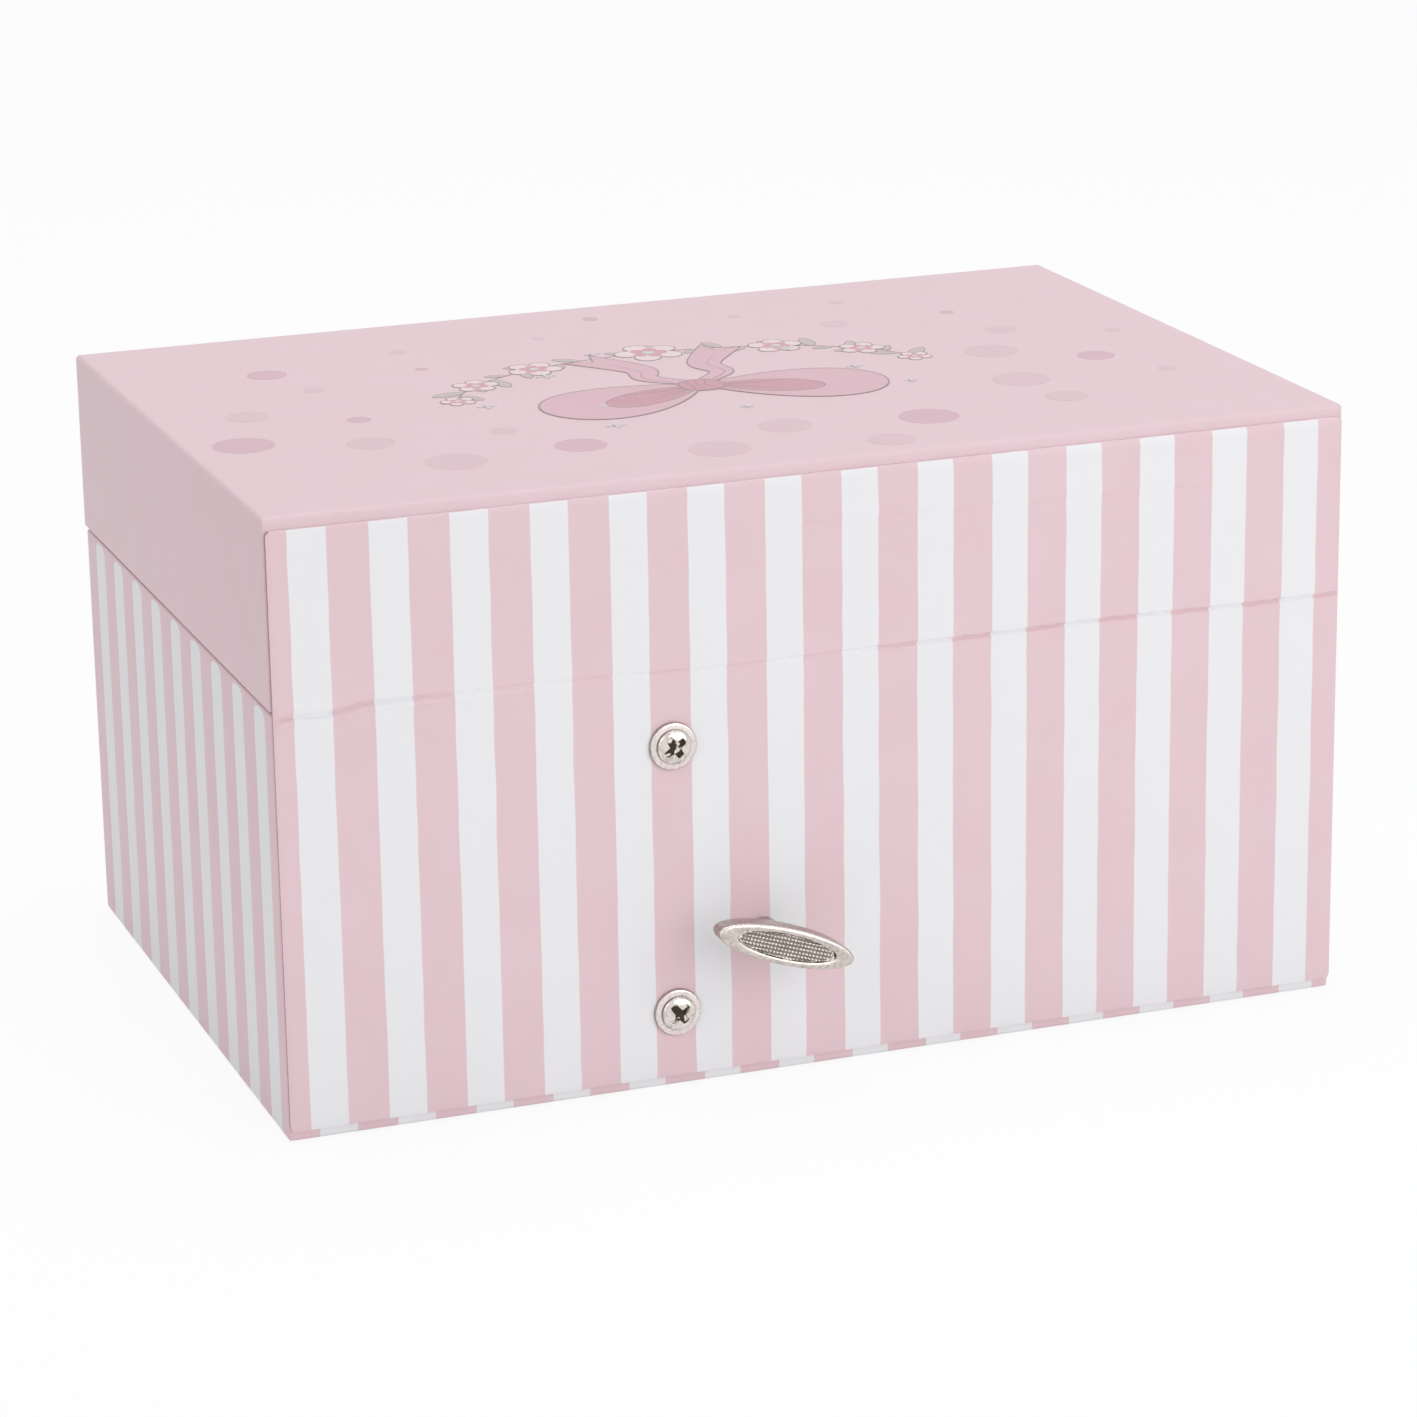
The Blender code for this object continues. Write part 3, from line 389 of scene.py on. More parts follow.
def netCloth(name, colour):  # crossed threads: two sets of fine waves set the bump and the tone
    f = Finish(name, 0.8, 0.0, colour)
    f.set("Sheen Weight", 0.4)
    weave = dict(Vector=f.coords.outputs["Object"], Scale=420.0, Distortion=1.5, Detail=2.0)
    wave = f.node("TexWave", **weave)
    cross = f.node("TexWave", **weave)
    cross.bands_direction = "Y"
    mesh = f.math("MAXIMUM", wave.outputs["Fac"], cross.outputs["Fac"])
    f.bump(mesh, 0.4, 0.08 * mm)
    f.colour(f.mix(f.span(mesh, 0.3, 0.9), darker(colour, 0.88), colour))
    return f.material


faceSkin = paintedFace("painted_face")
tulle = netCloth("pink_tulle", srgb(246, 214, 224))
print("finishes made")

# camera and light, first, as the picture gives them
view = dict(
    place=(-269.0, -741.0, 285.4), yaw=0.3508, pitch=0.2987, roll=-0.016, lens=123.6, sensor=36, near=0.02,
)


def setCamera():
    sy, cy = math.sin(view["yaw"]), math.cos(view["yaw"])
    sp, cp = math.sin(view["pitch"]), math.cos(view["pitch"])
    ahead = Vector((sy * cp, cy * cp, -sp))
    right = Vector((cy, -sy, 0))
    up = right.cross(ahead)
    turn = Matrix((right, up, -ahead)).transposed().to_4x4() @ Matrix.Rotation(view["roll"], 4, "Z")
    data = bpy.data.cameras.new("camera")
    data.lens = view["lens"]
    data.sensor_width = view["sensor"]
    data.clip_start = view["near"]
    camera = bpy.data.objects.new("camera", data)
    camera.matrix_world = Matrix.Translation(Vector(view["place"]) * mm) @ turn
    scene.collection.objects.link(camera)
    scene.camera = camera


lamps = dict(
    key=dict(place=(0.5, -0.95, 0.42), size=1.1, watts=4.9),
    fill=dict(place=(-1.3, -0.7, 0.7), size=1.2, watts=3.0),
    top=dict(place=(0.05, 0.28, 1.5), size=1.3, watts=9.1),
)
room = dict(
    aim=(0, 0, 0.05), worldLight=0.4, worldSeen=1.0, floorReach=4.0, floorDrop=0.2 * mm,
    glow=1.01, glowShare=0.87,
)


def setLight():
    for name, s in lamps.items():
        data = bpy.data.lights.new(name, "AREA")
        data.shape = "DISK"
        data.size = s["size"]
        data.energy = s["watts"]
        lamp = bpy.data.objects.new(name, data)
        lamp.location = s["place"]
        lamp.rotation_euler = (Vector(room["aim"]) - Vector(s["place"])).to_track_quat("-Z", "Y").to_euler()
        scene.collection.objects.link(lamp)
    world = bpy.data.worlds.new("studio")
    world.use_nodes = True
    scene.world = world
    tree = world.node_tree
    path = tree.nodes.new("ShaderNodeLightPath")
    seen = tree.nodes.new("ShaderNodeMath")
    seen.operation = "MAXIMUM"
    glass = tree.nodes.new("ShaderNodeMath")
    glass.operation = "MAXIMUM"
    tree.links.new(path.outputs["Is Camera Ray"], seen.inputs[0])
    tree.links.new(path.outputs["Is Glossy Ray"], glass.inputs[0])
    tree.links.new(path.outputs["Is Transmission Ray"], glass.inputs[1])
    tree.links.new(glass.outputs[0], seen.inputs[1])
    strength = tree.nodes.new("ShaderNodeMapRange")
    strength.inputs["To Min"].default_value = room["worldLight"]
    strength.inputs["To Max"].default_value = room["worldSeen"]
    tree.links.new(seen.outputs[0], strength.inputs["Value"])
    back = tree.nodes["Background"]
    back.inputs["Color"].default_value = (1, 1, 1, 1)
    tree.links.new(strength.outputs[0], back.inputs["Strength"])
    scene.view_settings.view_transform = "Standard"


def setFloor():
    f = Finish("floor_white", 0.9, 0.0, (0.96, 0.96, 0.96, 1))
    glow = f.node("Emission", Color=(1, 1, 1, 1), Strength=room["glow"])
    path = f.tree.nodes.new("ShaderNodeLightPath")
    seen = f.math("MAXIMUM", path.outputs["Is Camera Ray"], path.outputs["Is Glossy Ray"])
    seen = f.math("MAXIMUM", seen, path.outputs["Is Transmission Ray"])
    both = f.node("MixShader")
    f.feed(both.inputs[0], f.math("MULTIPLY", seen, room["glowShare"]))
    f.feed(both.inputs[1], f.shader.outputs[0])
    f.feed(both.inputs[2], glow.outputs[0])
    f.feed(f.tree.nodes["Material Output"].inputs[0], both.outputs[0])
    r, z = room["floorReach"], -room["floorDrop"]
    floor = addPiece("floor", [(-r, -r, z), (r, -r, z), (r, r, z), (-r, r, z)], [(0, 1, 2, 3)], [f.material])


setCamera()
setLight()
setFloor()
print("camera and light set")

# case: base walls, bottom board, lid and spine
case = dict(
    halfLength=90 * mm, front=60 * mm, back=-59.35 * mm, wall=2.6 * mm, corner=0.4 * mm, rim=0.35 * mm,
    baseTop=69.15 * mm, lidLow=69.75 * mm, lidTop=100 * mm, lidEdge=0.85 * mm, overhang=0.15 * mm,
    floor=2.0 * mm, skin=0.3 * mm, turnIn=9 * mm, foot=0.5 * mm, slack=0.04 * mm,
    lidTuck=0.1 * mm, lidBoard=2.5 * mm,
    backStart=3.45 * mm, backPitch=12.75 * mm, backShift=1.6 * mm, endStart=4.7 * mm, endPitch=12.82 * mm,
)


def stripeUv(points, quads, backShift=0.0):  # u counts stripes along each side, v is height in the same unit
    p = np.asarray(points).reshape(-1, 3)[quads]
    n = np.cross(p[:, 2] - p[:, 0], p[:, 3] - p[:, 1])
    end = (np.abs(n[:, 0]) > np.abs(n[:, 1]))[:, None]
    along = (p[..., 1] + case["front"] - case["endStart"]) / case["endPitch"]
    across = (p[..., 0] + case["halfLength"] - case["backStart"] - backShift) / case["backPitch"]
    return np.stack([np.where(end, along, across), p[..., 2] / case["backPitch"]], -1)


def makeBase():
    # wall profile carried round the outline: turned in under the floor, over the rim and down inside
    c = case
    inset = c["overhang"]
    lo = (-c["halfLength"] + inset, c["back"] + inset, 0)
    hi = (c["halfLength"] - inset, c["front"] - inset, 0)
    w, r, top, skin = c["wall"] - inset, c["rim"], c["baseTop"], c["skin"]
    profile = [(c["turnIn"], 0)] + fillet(c["foot"], 0, 0, c["foot"], False, 3)
    profile += fillet(0, top - r, r, top, True) + fillet(w - r, top, w, top - r, False)
    profile += [(w, c["floor"]), (skin, c["floor"]), (skin, skin), (c["turnIn"], skin)]
    rings = ringStack(lo, hi, c["corner"], profile)
    rows, cols = rings.shape[:2]
    quads = gridQuads(rows, cols, True, True)
    lined = (np.arange(rows) >= 12) & (np.arange(rows) < 18)  # rows from the rim's inner edge to the floor
    uv = stripeUv(rings, quads, c["backShift"])
    base = addPiece("base_case", rings, quads, [wrapStripesLidShade, velvet], np.repeat(lined, cols), 40, uv)
    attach(base, "base")
    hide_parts("base_front", "base_back", "base_left", "base_right")

    gap = skin + c["slack"]
    lo, hi = (lo[0] + gap, lo[1] + gap, gap), (hi[0] - gap, hi[1] - gap, c["floor"] - c["slack"])
    bottom = board("bottom_board", lo, hi, 0.2 * mm, backingPaper)
    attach(bottom, "base")
    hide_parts("base_bottom")


def makeLid():
    c = case
    lo = (-c["halfLength"] - c["overhang"], c["back"] + c["lidTuck"], 0)
    hi = (c["halfLength"] + c["overhang"], c["front"] + c["overhang"], 0)
    w, r, low, top, edge = c["wall"], c["rim"], c["lidLow"], c["lidTop"], c["lidEdge"]
    profile = [(w, top - c["lidBoard"])] + fillet(w, low + r, w - r, low, True)
    profile += fillet(r, low, 0, low + r, False) + fillet(0, top - edge, edge, top, True, 7)
    rings = ringStack(lo, hi, c["corner"] + 0.05 * mm, profile)
    rows, cols = rings.shape[:2]
    lined = np.arange(rows - 1) < 4  # rows on the inner side
    slots = np.append(np.repeat(lined, cols), [True, False])
    lid = addPiece("lid_case", rings, capped(rows, cols), [pinkPaper, velvet], slots, 40)
    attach(lid, "lid")
    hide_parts("lid_top", "lid_front", "lid_back", "lid_left", "lid_right")


spine = dict(
    half=89.75 * mm, low=1.75 * mm, high=98.0 * mm, face=-60 * mm, thick=0.7 * mm, topCorner=0.6 * mm,
    lowCorner=0.35 * mm, crease=69.5 * mm, bend=1.3 * mm, hold=0.8, edge=0.35, edgeDrop=0.12 * mm,
    rowStops=(64, 66, 71.5, 75, 88.5, 92), rowCounts=(34, 7, 67, 10, 10, 22, 14), lowSpread=1.25, columns=301,
)
# forms pressed into the sheet, as (height, middle, width) in mm from the crease; the lip is (height, reach)
# and the faint ridge is (height, foot above the table, fade)
pressed = dict(
    groove=(-0.4, 0, 0.26), ridge=(0.38, -1.0, 0.5), shoulder=(0.14, 1.2, 0.7), ripple=(0.1, -0.6, 0.8),
    lip=(0.3, 0.3), undercut=(-0.52, -0.1, 0.32), fold=(0.1, -0.7, 0.3), faintRidge=(0.17, 90.3, 4),
)


def hump(form, d):  # bell curve of a height, middle and width
    return form[0] * np.exp(-(((d - form[1]) / form[2]) ** 2))


def creaseLine(x):  # height of the fold: low at the left end, a jog up, then a slow fall to the right
    line = spine["crease"] / mm - 1.0 + 1.15 * smoothStep((x + 82) / 8) - 1.0 * smoothStep((x + 62) / 62)
    line += 0.16 * np.sin(x / 23) + 0.09 * np.sin(x / 7.1 + 1)
    return line + 0.06 * np.sin(1.6 * x + 2 * np.sin(x / 3))


def spineRelief(x, z):
    # height outwards: a groove over a ridge at the left, a small step under the lid at the right,
    # one faint ridge across the lid and soft dents all over
    p = pressed
    x, z = x / mm, z / mm
    d = z - creaseLine(x)
    left = smoothStep((-18 - x) / 55)
    fold = hump(p["groove"], d) + hump(p["ridge"], d) + hump(p["shoulder"], d)
    fold += hump(p["ripple"], d) * np.sin(x / 4.3 + 3 * np.sin(x / 31))
    rise, reach = p["lip"]
    step = rise * smoothStep((d + reach) / (2 * reach)) + hump(p["undercut"], d)
    step += hump(p["fold"], d) * smoothStep((20 - x) / 40) * (0.6 + 0.4 * np.sin(x / 5.2))
    share = 1 - 0.5 * smoothStep((x + 75) / 20) + 0.5 * smoothStep(x / 20)  # fainter in the middle
    relief = share * (left * fold + (1 - left) * step)
    rise, foot, fade = p["faintRidge"]
    span = smoothStep((x + 15) / 14) * smoothStep((72 - x) / 10)
    over = z - foot + 0.012 * x
    relief += rise * span * smoothStep((over + 0.25) / 0.5) * np.exp(-((np.clip(over, 0, None) / fade) ** 2))
    relief += 0.03 * np.sin(x / 19 + z / 27) + 0.02 * np.sin(x / 8 - z / 14)
    return relief * mm


def makeSpine():
    s = spine
    stops, counts = [*s["rowStops"], s["high"] / mm], s["rowCounts"]  # rows stand close at the crease
    lowRows = s["low"] + (stops[0] * mm - s["low"]) * np.linspace(0, 1, counts[0])[:-1] ** s["lowSpread"]
    bands = [np.linspace(lo, hi, n)[:-1] * mm for lo, hi, n in zip(stops, stops[1:], counts[1:])]
    rows = np.concatenate([lowRows, *bands, [s["high"]]])
    t = np.linspace(-1, 1, s["columns"])
    corner = np.where(rows > (s["low"] + s["high"]) / 2, s["topCorner"], s["lowCorner"])
    near = np.minimum(rows - s["low"], s["high"] - rows)
    pull = np.where(near < corner, corner - np.sqrt(np.maximum(corner**2 - (corner - near) ** 2, 0)), 0)
    x = t[None, :] * (s["half"] - pull)[:, None]
    z = rows[:, None] + 0 * x
    rim = np.minimum((s["half"] - np.abs(x)) / mm, np.minimum(z - s["low"], s["high"] - z) / mm)
    hold = smoothStep(rim / s["hold"])
    drop = s["edgeDrop"] * (1 - smoothStep(rim / s["edge"]))
    outer = np.stack([x, s["face"] - spineRelief(x, z) * hold + drop, z], -1)
    inner = np.stack([x, np.full_like(x, s["face"] + s["thick"]), z], -1)
    n, m = x.shape
    front = gridQuads(n, m)
    back = gridQuads(n, m)[:, ::-1] + n * m
    right, left = np.arange(1, n) * m + m - 1, np.arange(n - 2, 0, -1) * m
    ring = np.concatenate([np.arange(m), right, (n - 1) * m + np.arange(m - 2, -1, -1), left])
    step = np.roll(ring, -1)
    rimFaces = np.stack([ring, ring + n * m, step + n * m, step], -1)
    faces = np.concatenate([front, back, rimFaces])
    points = np.concatenate([outer.reshape(-1, 3), inner.reshape(-1, 3)])
    flat = points[faces]
    u = (flat[..., 0] + case["halfLength"] - case["backStart"]) / case["backPitch"]
    uv = np.stack([u, flat[..., 2] / case["backPitch"]], -1)
    parts = [len(front), len(back), m - 1, n - 1, m - 1, n - 1]  # then the low, right, top and left edges
    # the right and left edges carry the painted seam shadow, the top edge the pale cut paper
    slots = np.repeat([0, 1, 0, 2, 3, 2], parts)
    sheet = addPiece("spine_sheet", points, faces, [stripes, velvet, seamShade, cutEdge], slots, 50, uv)
    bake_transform(sheet)
    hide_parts("spine_paper")


makeBase()
makeLid()
makeSpine()
print("case made")

# fixing screws and washers
fixing = dict(
    x=-25.9 * mm, z=(12.6 * mm, 56.8 * mm), seat=-60.05 * mm, washer=3.88 * mm, hole=1.7 * mm, thick=0.6 * mm,
    washerEdge=0.3 * mm, head=2.76 * mm, rise=0.95 * mm, lift=0.06 * mm, slim=0.66 * mm, arm=1.95 * mm,
    deep=0.85 * mm, spin=(0.66, 0.6), shank=(1.4 * mm, 2 * mm), washerSteps=72, headSteps=120,
)


def faceBack(points, x, y, z):  # local z points out of the back wall, local y points up
    p = np.asarray(points, float).reshape(-1, 3)
    return np.stack([x + p[:, 0], y - p[:, 2], z + p[:, 1]], -1)


def wing(across, along):  # 1 inside a tapering slot, 0 outside
    f = fixing
    inside = smoothStep((f["slim"] - 0.1 * np.abs(along) - np.abs(across)) / (0.12 * mm) + 0.5)
    return inside * smoothStep((f["arm"] - np.abs(along)) / (0.3 * mm))


def crossCut(x, y):  # two wings across each other
    return np.maximum(wing(x, y), wing(y, x))


def makeFixings():
    f = fixing
    t, edge, n, m = f["thick"], f["washerEdge"], f["washerSteps"], f["headSteps"]
    a = np.linspace(0, math.pi / 2, 6)
    rim = np.stack([f["washer"] - edge + edge * np.cos(a), t - edge + edge * np.sin(a)], -1)
    shade = [(f["head"] + 0.16 * mm, t + 0.03 * mm), (f["head"] - 0.1 * mm, t + 0.03 * mm)]
    bore = [(f["hole"] + 0.3 * mm, t + 0.05 * mm), (f["hole"], t - 0.1 * mm)]
    ring = np.concatenate([[(f["hole"], 0), (f["washer"], 0)], rim, shade, bore])
    # painted shade on the washer's rim and in the ring round the head
    shadedRows = np.isin(np.arange(len(ring)), (1, 2, 3, 4, 8))  # rim and the ring round the head
    for label, z, spin in zip(("lower", "upper"), f["z"], f["spin"]):
        points = faceBack(turnedGrid(ring, n), f["x"], f["seat"], z)
        quads = gridQuads(len(ring), n, True, True)
        slots = np.repeat(shadedRows, n)
        washer = addPiece("washer_ring_" + label, points, quads, [nickelSheet, nickelShade], slots)
        flipOut(washer)
        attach(washer, "base")
        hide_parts("washer_" + label)

        # pan head: half a flattened oval in section, with the cross sunk into it
        r = np.concatenate([np.linspace(0.014, 0.9, 44), [0.94, 0.97, 0.99, 1.0]]) * f["head"]
        rr, aa = np.meshgrid(r, np.arange(m) * tau / m, indexing="ij")
        dome = f["rise"] * (0.3 + 0.7 * np.sqrt(np.clip(1 - (rr / f["head"]) ** 2.4, 0, 1)))
        cut = crossCut(rr * np.cos(aa - spin), rr * np.sin(aa - spin))
        sunk = dome - cut * f["deep"] * (1 - 0.3 * rr / f["head"])
        top = onCircle(rr, aa, sunk)
        wide, long = f["shank"]
        under = [(f["head"], 0.15 * mm), (f["head"] - 0.3 * mm, 0), (wide, 0), (wide, -long)]
        grid = np.concatenate([top, turnedGrid(under, m)])
        grid[..., 2] += t + f["lift"]
        faces = capped(len(grid), m)
        depth = np.concatenate([cut, np.zeros((len(under), m))]).ravel()[np.array(faces[:-2])].min(1)
        slots = np.append(depth > 0.5, [True, False])
        points = faceBack(grid, f["x"], f["seat"], z)
        screw = addPiece("fixing_screw_" + label, points, faces, [nickelHead, nickelRecess], slots, 50)
        flipOut(screw)
        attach(screw, "base")
        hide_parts("mount_screw_" + label)


makeFixings()
print("fixings made")

# winding key
keyBow = dict(
    x=-11.4 * mm, z=25.2 * mm, turn=math.radians(-19), length=23.8 * mm, width=6.2 * mm, thick=3.5 * mm,
    back=-68 * mm, round=0.6 * mm, hollow=1.4 * mm, panel=(17.0 * mm, 4.1 * mm), sink=0.5 * mm,
    knurl=0.62 * mm, ridge=0.34 * mm, point=0.97, stem=1.9, bore=1.6, steps=288, floorRows=72, stemSteps=48,
)


def makeKey():
    k = keyBow
    n = k["steps"]
    a = np.arange(n) * tau / n
    half = np.array([k["length"], k["width"]]) / 2
    bulge = np.sign(np.sin(a)) * np.abs(np.sin(a)) ** k["point"]
    lens = np.stack([np.cos(a), bulge], -1) * half
    oval = np.stack([np.cos(a), np.sin(a)], -1) * np.array(k["panel"]) / 2
    h, c = k["thick"], k["round"]

    def row(xy, z):  # one ring of the bow at a height
        return np.concatenate([xy, np.full((n, 1), z)], -1)

    def drawnIn(d):  # the outer outline drawn in by d
        return lens * (1 - d / half)

    b = np.linspace(0, math.pi / 2, 5)
    rows = [row(drawnIn(k["hollow"]), 0)]
    rows += [row(drawnIn(c * (1 - math.sin(t))), c * (1 - math.cos(t))) for t in b]
    rows += [row(drawnIn(c * (1 - math.cos(t))), h - c + c * math.sin(t)) for t in b]
    rows += [row(oval * (1.06, 1.12), h), row(oval * 1.02, h - 0.08 * mm), row(oval * 0.985, h - k["sink"])]
    s = np.linspace(0.97, 0.02, k["floorRows"])[:, None, None]
    xy = oval * s  # knurled floor: rounded studs where two sets of waves cross
    p, q = (xy[..., 0] + xy[..., 1]) / k["knurl"], (xy[..., 0] - xy[..., 1]) / k["knurl"]
    stud = np.clip(np.cos(p * math.pi) * np.cos(q * math.pi), 0, 1) ** 0.6
    z = h - k["sink"] + k["ridge"] * stud * smoothStep((0.97 - s[..., 0]) / 0.05)
    grid = np.concatenate([np.stack(rows), np.concatenate([xy, z[..., None]], -1)])
    faces = capped(len(grid), n)
    quads = np.array(faces[:-2])
    height = np.concatenate([np.ones((len(rows), n)), stud]).ravel()[quads].mean(1)
    line = np.arange(len(quads)) // n  # row of each face
    slots = np.where(line < len(rows) - 1, 0, np.where(height < 0.2, 1, 4))
    # the flank is painted darker, as shade on the key's sides
    slots[(line > 0) & (line < 7)] = 2  # flank
    slots[line == 12] = 3  # wall of the sunk panel
    slots = np.append(slots, [0, 1])
    cos, sin = math.cos(k["turn"]), math.sin(k["turn"])
    grid[..., :2] = grid[..., :2] @ np.array([[cos, -sin], [sin, cos]]).T
    finishes = [nickelCast, nickelPanel, nickelFlankShade, nickelRecess, nickelStud]
    bow = addPiece("key_bow", faceBack(grid, k["x"], k["back"], k["z"]), faces, finishes, slots, 50)
    flipOut(bow)
    r, hole = k["stem"], k["bore"]
    profile = [(0.6, 0.4), (r + 0.3, 0.4), (r + 0.25, -0.3), (r + 0.1, -0.9), (r, -1.4), (r, -6.4)]
    profile += [(r - 0.15, -6.7), (hole, -6.8), (hole, -4), (0.6, -4)]
    points = faceBack(turnedGrid(np.array(profile) * mm, k["stemSteps"]), k["x"], k["back"], k["z"])
    stem = addPiece("key_stem", points, gridQuads(len(profile), k["stemSteps"], True, True), [nickel])
    flipOut(stem)
    for piece in (bow, stem):
        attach(piece, "key")
    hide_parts("winding_key")


makeKey()
print("key made")

# lid print: a ribbon bow with a garland of blossoms, and loose dots around it
lidPrint = dict(
    face=100 * mm, lift=0.02 * mm, sink=0.16 * mm, line=0.24, bow=(0, 5), loop=(31, 12.5), tail=26,
    knot=(4.2, 3.9), garland=(41, 25), garlandRise=4, garlandEnds=(188, 352), leaves=27, leafEnds=(192, 348),
    blossoms=((190, 3.0), (213, 4.0), (238, 4.8), (270, 6.0), (302, 4.8), (327, 4.0), (350, 3.0)),
    dots=44, dotField=(85, 55), dotSizes=(1.1, 5.0), room=(88, 58), clear=(50, 33),
    glints=9, glintField=(47, 29), goldenTurn=2.39996,
)  # sizes of the drawing are in mm, angles along the garland in degrees
inkColours = {
    "dot_pale": (226, 196, 205), "dot_rose": (218, 182, 193), "ribbon": (223, 183, 195),
    "ribbon_deep": (206, 154, 169), "petal": (240, 219, 224), "heart": (213, 162, 176),
    "leaf": (203, 190, 188), "line": (158, 143, 147),
}


def printedPaper(name, colour):
    return plainPaper(name, colour, darker(colour, 0.96))


def turnedBy(u, v, turn):  # plane points turned about the start
    return np.stack([u * math.cos(turn) - v * math.sin(turn), u * math.sin(turn) + v * math.cos(turn)], -1)


def roundAngles(count):
    return np.linspace(0, tau, count, endpoint=False)


def aroundSpot(x, y, r, a):  # plane points at the angles a round a spot
    return np.stack([x + r * np.cos(a), y + r * np.sin(a)], -1)


def tearDrop(length, width, turn):  # leaves the knot, swells and comes back: a sine narrowed towards the knot
    t = roundAngles(80)
    return turnedBy(length * (1 - np.cos(t)) / 2, -width * np.sin(t) * np.sin(t / 2) ** 0.8, turn)


def blossom(x, y, r, turn):  # five petals: a circle drawn in at five places
    a = roundAngles(80)
    rr = r * (0.5 + 0.5 * np.abs(np.cos(2.5 * (a - turn))) ** 0.55)
    return aroundSpot(x, y, rr, a)


def leafShape(x, y, length, turn):  # an oval with its sides drawn in towards both tips
    a = roundAngles(40)
    v = 0.2 * length * np.sign(np.sin(a)) * np.abs(np.sin(a)) ** 1.4
    return turnedBy(length * (0.5 + 0.5 * np.cos(a)), v, turn) + (x, y)


def ribbonTail(path, width):  # both edges of a widening ribbon, with a notch cut into its end
    along = np.gradient(path, axis=0)
    along /= np.linalg.norm(along, axis=1, keepdims=True)
    side = np.stack([-along[:, 1], along[:, 0]], -1) * width[:, None] / 2
    notch = path[-1:] - along[-1:] * 0.5 * width[-1]
    return np.concatenate([path - side, notch, (path + side)[::-1]])


